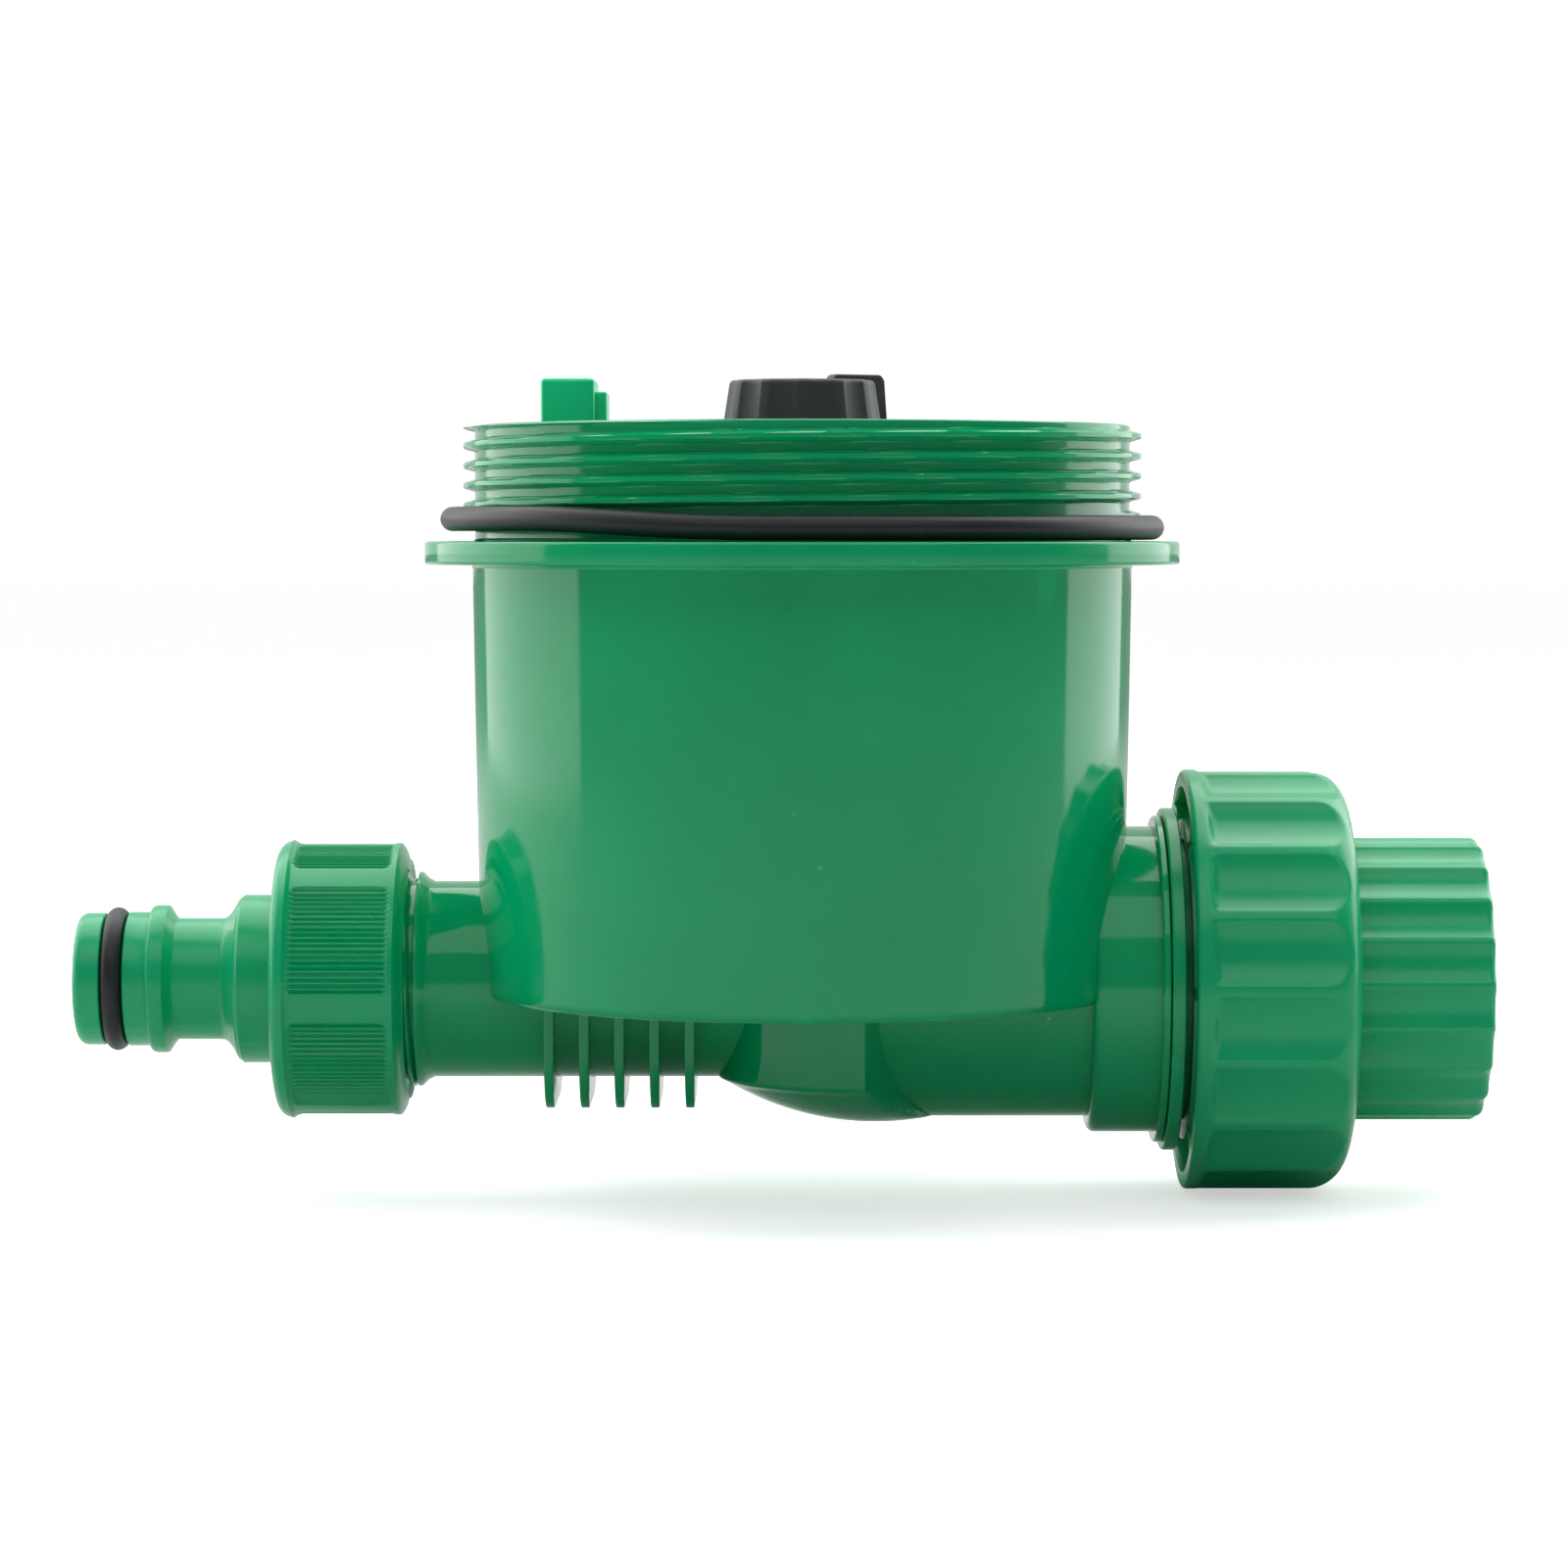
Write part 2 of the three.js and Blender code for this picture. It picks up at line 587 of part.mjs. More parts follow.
function valveChamber() {
  const domeZ = CHAMBER_BOTTOM_Z + CHAMBER_DOME_R;
  const spread = THREE.MathUtils.radToDeg(Math.asin(CHAMBER_R / CHAMBER_DOME_R));
  const dome = arc(0, domeZ, CHAMBER_DOME_R, -90, spread - 90, 5);
  const round = turned([...dome, [CHAMBER_R, CHAMBER_TOP_Z], [0, CHAMBER_TOP_Z]], MIDDLE);
  const side = CHAMBER_R * 2;
  const bow = prism([
    [CHAMBER_BOW_X, 0], [CHAMBER_BOW_X - CHAMBER_BOW_SLOPE * side, side], [-side, side],
    [-side, -side], [CHAMBER_BOW_X - CHAMBER_BOW_SLOPE * side, -side],
  ], CHAMBER_BOTTOM_Z - OVERLAP, CHAMBER_TOP_Z + OVERLAP);
  return move(round, CHAMBER_X, 0, 0).intersect(bow);
}

function fin(x) {
  const topZ = CUP_BOTTOM_Z + OVERLAP;
  const cornerY = FIN_HALF_W - FIN_CORNER_R;
  const cornerZ = FIN_BOTTOM_Z + FIN_CORNER_R;
  const outline = [
    [FIN_HALF_W, topZ], [-FIN_HALF_W, topZ],
    ...arc(-cornerY, cornerZ, FIN_CORNER_R, 180, 270, 4),
    ...arc(cornerY, cornerZ, FIN_CORNER_R, 270, 360, 4),
  ];
  return prismX(outline, x - FIN_T / 2, x + FIN_T / 2);
}

function outletPipe() {
  const cone = OUTLET_THREAD_R - OUTLET_R;
  return turnedX([
    [OUTLET_END_X, 0], [OUTLET_END_X, OUTLET_THREAD_R - OVERLAP],
    [OUTLET_END_X + OVERLAP, OUTLET_THREAD_R], [OUTLET_THREAD_X, OUTLET_THREAD_R],
    [OUTLET_THREAD_X + cone, OUTLET_R], [CHAMBER_X - CHAMBER_R / 2, OUTLET_R],
    [CHAMBER_X - CHAMBER_R / 2, 0],
  ], MIDDLE);
}

function inletPipe() {
  return turnedX([
    [CHAMBER_X, 0], [CHAMBER_X, INLET_R], [INLET_STEP_X, INLET_R],
    [INLET_STEP_X, INLET_STEP_R - INLET_STEP_EDGE], [INLET_STEP_X + INLET_STEP_EDGE, INLET_STEP_R],
    [INLET_COLLAR_X, INLET_STEP_R], [INLET_COLLAR_X, INLET_COLLAR_R], [INLET_END_X, INLET_COLLAR_R],
    [INLET_END_X, 0],
  ], MIDDLE);
}

function waterWay() {
  const shoulderX = VALVE_X - SEAT_FAR - GAP;
  const stemStep = STEM_FLANGE_Z + STEM_FLANGE_T + GAP;
  return join(
    rodX(FLOW_BORE_R, OUTLET_END_X - OVERLAP, VALVE_X),
    rodX(BALL_BORE_R, shoulderX, INLET_END_X + OVERLAP),
    at(VALVE_AT, rod(STEM_FLANGE_R + GAP, 0, stemStep)),
    at(VALVE_AT, rod(STEM_R + GAP, 0, STEM_BOSS_TOP_Z + OVERLAP)),
  );
}

function housing() {
  const floorZ = CUP_BOTTOM_Z + CUP_WALL;
  const pillarTop = GEARBOX_FLOOR_Z - SEAT_GAP;
  let body = join(cupBody(), lidThread());
  body = cut(body, cupCavity());
  body = join(body, valveChamber(), inletPipe(), outletPipe());
  for (let i = 0; i < FIN_COUNT; i += 1) body = body.add(fin(FIN_FIRST_X + i * FIN_PITCH));
  body = body.add(at(VALVE_AT, rod(STEM_BOSS_R, CHAMBER_TOP_Z - OVERLAP, STEM_BOSS_TOP_Z)));
  for (const place of SCREW_AT) {
    body = body.add(at(place, rod(PILLAR_R, floorZ - OVERLAP, pillarTop, TINY)));
    body = body.subtract(at(place, rod(SCREW_R + GAP, pillarTop - SCREW_GRIP - 1, pillarTop + 1, TINY)));
  }
  return cut(body, waterWay());
}

// ---- ball valve ----
function ballShape(extra) {
  return at(VALVE_AT, solid(new THREE.SphereGeometry(BALL_R + extra, 20, 12)));
}

function valveBall() {
  const slotHalf = STEM_TANG_W / 2 + GAP;
  const slotFloor = STEM_FLANGE_Z - STEM_TANG_H - GAP;
  const port = rodX(BALL_PORT_R, VALVE_X - BALL_R - 1, VALVE_X + BALL_R + 1);
  const slot = box(VALVE_X - slotHalf, VALVE_X + slotHalf, -BALL_R, BALL_R, slotFloor, BALL_R + 1);
  return cut(ballShape(0), port, slot);
}

function seatRing(side) {
  const ends = [SEAT_NEAR, SEAT_FAR].map((d) => VALVE_X + side * d).sort((a, b) => a - b);
  const ring = tubeX(BALL_PORT_R + 0.5, BALL_BORE_R - GAP, ends[0], ends[1]);
  return ring.subtract(ballShape(GAP));
}

function stemGroove(z) {
  const half = STEM_RING_CORD / 2 + SEAT_GAP;
  return tube(stemRingR() - half, STEM_R + 1, z - half, z + half, SMALL);
}

function stemRingR() {
  return STEM_R + GAP - SEAT_GAP - STEM_RING_CORD / 2;
}

function valveStem() {
  const tangZ = STEM_FLANGE_Z - STEM_TANG_H;
  const squareZ = LAYER_LOW[0] - SEAT_GAP;
  const half = STEM_SQUARE / 2;
  const tang = box(-STEM_TANG_W / 2, STEM_TANG_W / 2, -STEM_TANG_L / 2, STEM_TANG_L / 2,
    tangZ, STEM_FLANGE_Z + OVERLAP);
  const stem = join(
    tang.intersect(rod(STEM_FLANGE_R, tangZ, STEM_FLANGE_Z + 1)),
    rod(STEM_FLANGE_R, STEM_FLANGE_Z, STEM_FLANGE_Z + STEM_FLANGE_T),
    rod(STEM_R, STEM_FLANGE_Z, squareZ),
    box(-half, half, -half, half, squareZ - OVERLAP, LAYER_LOW[1]),
  );
  return at(VALVE_AT, cut(stem, ...STEM_RING_ZS.map(stemGroove)));
}

// ---- gears ----
function involute(angle) {
  return Math.tan(angle) - angle;
}

// Outline of a spur gear with one tooth centred at phaseDeg.
function gearOutline(teeth, addendum, phaseDeg) {
  const pitchR = (GEAR_MODULE * teeth) / 2;
  const pressure = THREE.MathUtils.degToRad(PRESSURE_DEG);
  const baseR = pitchR * Math.cos(pressure);
  const rootR = pitchR - 1.25 * GEAR_MODULE;
  const tipR = pitchR + addendum;
  const halfAtPitch = Math.PI / (2 * teeth) - BACKLASH / 4 / pitchR;
  const halfAt = (r) => halfAtPitch + involute(pressure) - involute(Math.acos(Math.min(1, baseR / r)));
  const radii = rootR > 0.9 * baseR ? [rootR, tipR] : [rootR, baseR, tipR];
  const outline = [];
  for (let k = 0; k < teeth; k += 1) {
    const middle = THREE.MathUtils.degToRad(phaseDeg) + (2 * Math.PI * k) / teeth;
    const rising = radii.map((r) => [r, middle - halfAt(r)]);
    const falling = radii.map((r) => [r, middle + halfAt(r)]).reverse();
    for (const [r, a] of [...rising, ...falling]) outline.push([r * Math.cos(a), r * Math.sin(a)]);
  }
  return outline;
}

// Phase that puts gear B in mesh with gear A when B lies at directionDeg from A.
function meshPhase(phaseA, teethA, teethB, directionDeg) {
  return directionDeg + 180 - ((phaseA - directionDeg) * teethA) / teethB + 180 / teethB;
}

const PINION_B_PHASE = meshPhase(0, OUTPUT_TEETH, PINION_TEETH, GEAR_B_DEG);
const PINION_A_PHASE = meshPhase(0, WHEEL_TEETH, PINION_TEETH, GEAR_A_DEG);
const MOTOR_PINION_PHASE = meshPhase(0, WHEEL_TEETH, PINION_TEETH, PINION_DEG);

function outputGear() {
  const half = STEM_SQUARE / 2 + GAP;
  const wheel = prism(gearOutline(OUTPUT_TEETH, WHEEL_ADDENDUM, 0), ...LAYER_LOW);
  const square = box(-half, half, -half, half, LAYER_LOW[0] - 1, LAYER_LOW[1] + 1);
  return at(VALVE_AT, cut(wheel, square));
}

function compoundGear(place, pinionLayer, wheelLayer, pinionPhase) {
  const pinion = prism(gearOutline(PINION_TEETH, GEAR_MODULE, pinionPhase),
    pinionLayer[0], wheelLayer[0] + SEAT_GAP);
  const wheel = prism(gearOutline(WHEEL_TEETH, WHEEL_ADDENDUM, 0), ...wheelLayer);
  const bore = rod(AXLE_R + GAP, pinionLayer[0] - 1, wheelLayer[1] + 1, TINY);
  return at(place, cut(join(wheel, pinion), bore));
}

function motorPinion() {
  const shaftTop = GEARBOX_TOP_Z + MOTOR_L / 2;
  const pinion = prism(gearOutline(PINION_TEETH, GEAR_MODULE, MOTOR_PINION_PHASE), ...LAYER_TOP);
  return at(MOTOR_AT, pinion.add(rod(AXLE_R, LAYER_TOP[0], shaftTop, TINY)));
}

// ---- gearbox ----
function axle(place) {
  return at(place, rod(AXLE_R, GEARBOX_FLOOR_Z, GEARBOX_TOP_Z, TINY));
}

function gearboxBase() {
  const thrustR = AXLE_R + GAP + 1;
  const plate = rod(GEARBOX_R, GEARBOX_FLOOR_Z, GEARBOX_BASE_TOP_Z, MIDDLE);
  const thrust = at(GEAR_A_AT, rod(thrustR, GEARBOX_FLOOR_Z, LAYER_MID[0] - GAP, TINY));
  const through = (place, r) => at(place, rod(r, GEARBOX_FLOOR_Z - 1, LAYER_TOP[1], TINY));
  return cut(
    join(plate, thrust),
    at(VALVE_AT, rod(STEM_BOSS_R + GAP, GEARBOX_FLOOR_Z - 1, GEARBOX_BASE_TOP_Z + 1)),
    through(GEAR_A_AT, AXLE_R + GAP), through(GEAR_B_AT, AXLE_R + GAP),
    ...SCREW_AT.map((place) => through(place, SCREW_R + GAP)),
  );
}

function gearboxCover() {
  const footZ = GEARBOX_BASE_TOP_Z + GAP;
  const roofZ = GEARBOX_TOP_Z - GEARBOX_WALL;
  const innerR = GEARBOX_R - GEARBOX_WALL;
  const can = turned([
    [innerR, footZ], [GEARBOX_R, footZ], [GEARBOX_R, GEARBOX_TOP_Z], [0, GEARBOX_TOP_Z],
    [0, roofZ], [innerR, roofZ],
  ], MIDDLE);
  const columns = SCREW_AT.map((place) => at(place, rod(PILLAR_R - 0.4, footZ, roofZ + OVERLAP, TINY)));
  const cradle = at(MOTOR_AT, tube(MOTOR_R + GAP, MOTOR_R + GAP + GEARBOX_WALL,
    GEARBOX_TOP_Z - OVERLAP, GEARBOX_TOP_Z + MOTOR_CRADLE_H, MIDDLE));
  const through = (place, r) => at(place, rod(r, footZ - 1, GEARBOX_TOP_Z + 1, TINY));
  return cut(
    join(can, cradle, ...columns),
    through(MOTOR_AT, MOTOR_NOSE_R + GAP),
    through(GEAR_A_AT, AXLE_R + GAP), through(GEAR_B_AT, AXLE_R + GAP),
    ...SCREW_AT.map((place) => through(place, SCREW_R + GAP)),
  );
}

// A pan-head screw with a cross recess, its head's underside at z and its shank reaching down.
function panScrew(z, shankR, shankL, headR, headH) {
  const recess = join(
    box(-headR * 0.6, headR * 0.6, -0.4, 0.4, z + headH / 2, z + headH + 1),
    box(-0.4, 0.4, -headR * 0.6, headR * 0.6, z + headH / 2, z + headH + 1),
  );
  const blank = turned([
    [0, z - shankL], [shankR, z - shankL + shankR], [shankR, z], [headR, z],
    [headR, z + headH / 2], [headR * 0.7, z + headH], [0, z + headH],
  ], TINY);
  return cut(blank, recess);
}

function gearboxScrew(place) {
  const length = GEARBOX_TOP_Z - GEARBOX_FLOOR_Z + SCREW_GRIP;
  return at(place, panScrew(GEARBOX_TOP_Z + SEAT_GAP, SCREW_R, length, SCREW_HEAD_R, SCREW_HEAD_H));
}

// ---- motor, its leads and the plug that meets the control module ----
const PLUG_TOP_Z = TRAY_FLOOR_Z - PLUG_HEADROOM + SEAT_GAP;
const PIN_FOOT_Z = (GEARBOX_TOP_Z + SEAT_GAP + PLUG_TOP_Z) / 2;

// A point beside the motor, on a line that runs from the motor's axis to the plug.
function leadPoint(along, sideways, z) {
  const ux = Math.cos(THREE.MathUtils.degToRad(PLUG_DEG));
  const uy = Math.sin(THREE.MathUtils.degToRad(PLUG_DEG));
  return [MOTOR_AT[0] + along * ux - sideways * uy, MOTOR_AT[1] + along * uy + sideways * ux, z];
}

function motor() {
  const noseZ = GEARBOX_TOP_Z - GEARBOX_WALL + GAP;
  const can = turned([
    [0, noseZ], [MOTOR_NOSE_R, noseZ], [MOTOR_NOSE_R, MOTOR_FOOT_Z], [MOTOR_R, MOTOR_FOOT_Z],
    [MOTOR_R, MOTOR_HEAD_Z - 1], [MOTOR_R - 1, MOTOR_HEAD_Z], [0, MOTOR_HEAD_Z],
  ], MIDDLE);
  const shaftHole = rod(AXLE_R + GAP, noseZ - 1, GEARBOX_TOP_Z + MOTOR_L / 2 + 1, TINY);
  let body = at(MOTOR_AT, cut(can, shaftHole));
  for (const side of [-1, 1]) {
    const [x, y] = leadPoint(side * TERMINAL_X, 0, 0);
    body = body.add(at([x, y], rod(TERMINAL_R, MOTOR_HEAD_Z - 1, MOTOR_HEAD_Z + TERMINAL_H, TINY)));
  }
  return body;
}

function motorLead(side) {
  const start = side * TERMINAL_X + TERMINAL_R + GAP;
  const rest = side > 0 ? 1.2 : -2.0;
  const z = MOTOR_HEAD_Z + LEAD_R + GAP / 2;
  return wire([
    leadPoint(start, 0, z), leadPoint(start + 2.2, rest, z + 0.5), leadPoint(7.6, rest, z + 0.3),
    leadPoint(9.6, rest, z - 1.8), leadPoint(10.0, rest, z - 5.5), leadPoint(11.2, rest, z - 10.0),
    leadPoint(13.2, rest * 0.8, z - 12.2), leadPoint(15.6, rest * 0.6, z - 12.6),
  ], LEAD_R, 16, 3);
}

function pinPlaces() {
  return [-1, 1].map((side) => [PLUG_AT[0] + (side * PIN_PITCH) / 2, PLUG_AT[1]]);
}

function plugBlock() {
  const [halfW, halfD] = [PLUG_W / 2, PLUG_D / 2];
  const block = at(PLUG_AT, box(-halfW, halfW, -halfD, halfD, GEARBOX_TOP_Z + SEAT_GAP, PLUG_TOP_Z));
  return cut(block, ...pinPlaces().map((p) => at(p, rod(PIN_R + GAP, PIN_FOOT_Z, PLUG_TOP_Z + 1, TINY))));
}

function plugPin(place) {
  return at(place, rod(PIN_R, PIN_FOOT_Z + SEAT_GAP, BOARD_Z - GAP, TINY));
}

// ---- seal ring for the lid, lying slack on the flange and lifted at the outlet side ----
function lidSealRing() {
  const geometry = new THREE.TorusGeometry(LID_RING_R, LID_RING_CORD / 2, 6, ROUND);
  const points = geometry.attributes.position;
  for (let i = 0; i < points.count; i += 1) {
    const turn = Math.atan2(points.getY(i), points.getX(i));
    const lift = LID_RING_LIFT * ((1 - Math.cos(turn)) / 2) ** 3;
    points.setZ(i, points.getZ(i) + lift + FLANGE_TOP_Z + LID_RING_CORD / 2 + SEAT_GAP);
  }
  return solid(geometry);
}

// ---- inlet nipple and its seal ----
const SPIGOT_R = BALL_BORE_R - GAP;

function nippleRingR() {
  return BALL_BORE_R - SEAT_GAP - NIPPLE_RING_CORD / 2;
}

function inletNipple() {
  const half = NIPPLE_RING_CORD / 2 + SEAT_GAP;
  const grooveR = nippleRingR() - half;
  const startX = VALVE_X + SEAT_FAR + GAP;
  return turnedX([
    [startX, FLOW_BORE_R], [startX, SPIGOT_R],
    [NIPPLE_RING_X - half, SPIGOT_R], [NIPPLE_RING_X - half, grooveR],
    [NIPPLE_RING_X + half, grooveR], [NIPPLE_RING_X + half, SPIGOT_R],
    [INLET_END_X + SEAT_GAP, SPIGOT_R], [INLET_END_X + SEAT_GAP, DISC_R],
    [DISC_END_X, DISC_R], [DISC_END_X, NIPPLE_NECK_R],
    [SNAP_X, NIPPLE_NECK_R], [SNAP_X, SNAP_R], [SNAP_X + 1.2, SNAP_R],
    [NIPPLE_END_X, NIPPLE_NECK_R], [NIPPLE_END_X, FLOW_BORE_R],
  ], MIDDLE);
}

function ringAboutX(x, ringR, cord, segments) {
  const geometry = new THREE.TorusGeometry(ringR, cord / 2, 6, segments).rotateY(Math.PI / 2);
  return solid(geometry.translate(x, 0, 0));
}

// ---- union nut ----
function nutPocket() {
  const inR = NUT_POCKET_IN_R;
  const outR = NUT_POCKET_OUT_R;
  let pocket = tubeX(inR, outR, NUT_X - 1, NUT_X + NUT_POCKET_DEPTH);
  const half = NUT_POCKET_RIB_T / 2;
  for (let i = 0; i < NUT_POCKET_RIBS; i += 1) {
    const rib = box(NUT_X - 2, NUT_X + NUT_POCKET_DEPTH + 1, -half, half, inR - 1, outR + 1);
    pocket = pocket.subtract(rib.rotate([(360 * i) / NUT_POCKET_RIBS, 0, 0]));
  }
  return pocket;
}

function unionNut() {
  const webEnd = NUT_WEB_X + NUT_WEB_T;
  const snapEnd = NIPPLE_END_X + GAP;
  const rimX = NUT_X + NUT_RIM_T;
  const grip = prismX(flutedOutline(NUT_R, NUT_FLUTE_DEPTH, NUT_FLUTES, -2), rimX - OVERLAP, NUT_END_X);
  const roundEnd = turnedX([
    [NUT_X, 0], [NUT_X, NUT_R + OVERLAP],
    ...arc(NUT_END_X - NUT_ROUND, NUT_R - NUT_ROUND, NUT_ROUND, 90, 0, 2), [NUT_END_X, 0],
  ], 2 * NUT_FLUTES);
  const body = join(grip, rodX(NUT_R, NUT_X, rimX, 2 * NUT_FLUTES)).intersect(roundEnd);
  return cut(
    body,
    rodX(NIPPLE_NECK_R + GAP, NUT_X - 1, webEnd + 1),
    rodX(SNAP_R + GAP, webEnd, snapEnd),
    rodX(NUT_BORE_R, snapEnd - 1, NUT_END_X + 1),
    nutPocket(),
  );
}

// ---- tap adaptor, its filter washer and the union washer ----
const TAP_FLOOR_X = ADAPTOR_END_X - TAP_DEPTH;

function tapAdaptor() {
  const gripX = NUT_END_X + GAP;
  const grip = prismX(flutedOutline(ADAPTOR_R, ADAPTOR_FLUTE_DEPTH, ADAPTOR_FLUTES, -2.5, 3),
    gripX, ADAPTOR_END_X);
  return cut(
    join(grip, rodX(ADAPTOR_THREAD_R, ADAPTOR_X, gripX + OVERLAP)),
    rodX(FLOW_BORE_R, ADAPTOR_X - 1, ADAPTOR_END_X),
    rodX(TAP_BORE_R, TAP_FLOOR_X, ADAPTOR_END_X + 1),
  );
}

function filterWasher() {
  const x = TAP_FLOOR_X + SEAT_GAP;
  const outer = TAP_BORE_R - GAP;
  const inner = FLOW_BORE_R - 1;
  let body = tubeX(inner, outer, x, x + FILTER_RING_T);
  const half = FILTER_BAR_W / 2;
  const [x0, x1] = [x + FILTER_RING_T / 2 - half, x + FILTER_RING_T / 2 + half];
  for (let i = 0; i < FILTER_BARS; i += 1) {
    const c = (i - (FILTER_BARS - 1) / 2) * ((2 * inner) / (FILTER_BARS + 1));
    const reach = Math.sqrt(((inner + outer) / 2) ** 2 - c * c) - 0.5;
    body = join(
      body, box(x0, x1, c - half, c + half, -reach, reach), box(x0, x1, -reach, reach, c - half, c + half),
    );
  }
  return body;
}

function unionWasher() {
  const x = NIPPLE_END_X + SEAT_GAP;
  return tubeX(FLOW_BORE_R + 1, ADAPTOR_THREAD_R - GAP, x, x + WASHER_T);
}

// ---- hose connector ----
const NOSE_GROOVE_HALF = NOSE_RING_CORD / 2 + SEAT_GAP;
const NOSE_GROOVE_R = NOSE_RING_R - NOSE_RING_CORD - SEAT_GAP;

function hoseConnector() {
  const collar0 = LATCH_COLLAR_X - LATCH_COLLAR_HALF;
  const collar1 = LATCH_COLLAR_X + LATCH_COLLAR_HALF;
  const flare = SHOULDER_X - LATCH_NECK_END_X;
  return turnedX([
    [NOSE_TIP_X, NOSE_BORE_R], [NOSE_TIP_X, NOSE_R - NOSE_EDGE], [NOSE_TIP_X + NOSE_EDGE, NOSE_R],
    [NOSE_RING_X - NOSE_GROOVE_HALF, NOSE_R], [NOSE_RING_X - NOSE_GROOVE_HALF, NOSE_GROOVE_R],
    [NOSE_RING_X + NOSE_GROOVE_HALF, NOSE_GROOVE_R], [NOSE_RING_X + NOSE_GROOVE_HALF, LAND_R],
    [collar0, LAND_R], [collar0 + 0.6, LATCH_COLLAR_R], [collar1 - 0.7, LATCH_COLLAR_R],
    [collar1, LAND_R], [collar1 + 0.6, LATCH_NECK_R], [LATCH_NECK_END_X, LATCH_NECK_R],
    [LATCH_NECK_END_X + 0.6 * flare, LATCH_NECK_R + 0.8], [SHOULDER_X, SHOULDER_R],
    [SKIRT_X, SHOULDER_R], [SKIRT_X, SKIRT_RING_R - 2.5], [SKIRT_X + 0.7, SKIRT_RING_R - 0.7],
    [SKIRT_X + 1.8, SKIRT_RING_R], [SKIRT_X + 2.4, SKIRT_R], [SKIRT_END_X - 2.3, SKIRT_R],
    [SKIRT_END_X, SKIRT_END_R], [SKIRT_END_X, OUTLET_THREAD_R + GAP],
    [SOCKET_X, OUTLET_THREAD_R + GAP], [SOCKET_X, NOSE_BORE_R],
  ], MIDDLE);
}

function hoseWasher() {
  const x = SOCKET_X + SEAT_GAP;
  return tubeX(NOSE_BORE_R + 2, OUTLET_THREAD_R - GAP, x, x + HOSE_WASHER_T);
}

// ---- control module ----
const BOARD_TOP_Z = BOARD_Z + BOARD_T;
const CELL_YS = [CELL_FIRST_Y, CELL_FIRST_Y + CELL_PITCH];
const SHAFT_TOP_Z = KNOB_TOP_Z - KNOB_SKIN;
const KNOB_FOOT_Z = PANEL_Z + SEAT_GAP + LABEL_T + GAP;

function panelHoles(extra = 0) {
  const through = (x, y, r) => move(rod(r + GAP + extra, BOARD_TOP_Z, KNOB_TOP_Z), x, y, 0);
  return [through(0, 0, SHAFT_R), through(BUTTON_X, BUTTON_Y, BUTTON_R), through(LIGHT_X, LIGHT_Y, LIGHT_R)];
}

function controlPanel() {
  const roofZ = PANEL_Z - PANEL_T;
  const innerR = MODULE_R - SKIRT_T;
  const half = SEAL_CORD / 2 + SEAT_GAP;
  const can = turned([
    [innerR, SKIRT_BOTTOM_Z], [MODULE_R, SKIRT_BOTTOM_Z], [MODULE_R, SEAL_Z - half],
    [sealR() - half, SEAL_Z - half], [sealR() - half, SEAL_Z + half], [MODULE_R, SEAL_Z + half],
    [MODULE_R, PANEL_Z], [0, PANEL_Z], [0, roofZ], [innerR, roofZ],
  ]);
  const post = (p) => at(p, tube(POST_BORE_R, POST_R, SKIRT_BOTTOM_Z, roofZ + OVERLAP, TINY));
  const tab = box(TAB_X - TAB_T / 2, TAB_X + TAB_T / 2, -TAB_W / 2, TAB_W / 2, roofZ + OVERLAP, TAB_TOP_Z);
  const ribX = TAB_X + TAB_T / 2;
  const rib = box(ribX - OVERLAP, ribX + TAB_RIB_T, -TAB_RIB_W / 2, TAB_RIB_W / 2, roofZ + OVERLAP,
    TAB_RIB_TOP_Z);
  return cut(join(can, tab, rib, ...MODULE_SCREW_AT.map(post)), ...panelHoles());
}

function sealR() {
  return CUP_INNER_R - GAP - SEAL_CORD / 2;
}

function panelLabel() {
  const z = PANEL_Z + SEAT_GAP;
  const wide = TAB_W / 2 + GAP;
  const [startX, endX] = [TAB_X - TAB_T / 2 - GAP, TAB_X + TAB_T / 2 + TAB_RIB_T + GAP];
  const tabHole = box(startX, endX, -wide, wide, z - 1, z + 1);
  return cut(rod(LABEL_R, z, z + LABEL_T, ROUND), tabHole, ...panelHoles());
}

function trayOutline() {
  const y0 = CELL_YS[0] - CELL_R - GAP - TRAY_WALL;
  const y1 = CELL_YS[1] + CELL_R + GAP + TRAY_WALL;
  return [y0, y1];
}

function batteryTray() {
  const [y0, y1] = trayOutline();
  const footZ = TRAY_FLOOR_Z - TRAY_DEPTH;
  const half = TRAY_HALF_L;
  const w = TRAY_WALL;
  const plate = rod(MODULE_R, TRAY_FLOOR_Z, TRAY_TOP_Z, ROUND);
  const trough = box(-half, half, y0, y1, footZ, TRAY_TOP_Z - SEAT_GAP);
  const room = box(-half + w, half - w, y0 + w, y1 - w, footZ - 1, TRAY_FLOOR_Z);
  const slotHalf = PIN_SLOT_HALF_W;
  const pinSlot = at(PLUG_AT,
    box(-PIN_PITCH, PIN_PITCH, -slotHalf, slotHalf, TRAY_FLOOR_Z - 1, TRAY_TOP_Z + 1));
  const motorNotch = at(MOTOR_AT, rod(MOTOR_R + MOTOR_NOTCH_ROOM, TRAY_FLOOR_Z - 1, TRAY_TOP_Z + 1, MIDDLE));
  const screwHole = (p) => at(p, rod(POST_BORE_R + GAP, TRAY_FLOOR_Z - 1, TRAY_TOP_Z + 1, TINY));
  return cut(join(plate, trough), room, pinSlot, motorNotch, ...MODULE_SCREW_AT.map(screwHole));
}

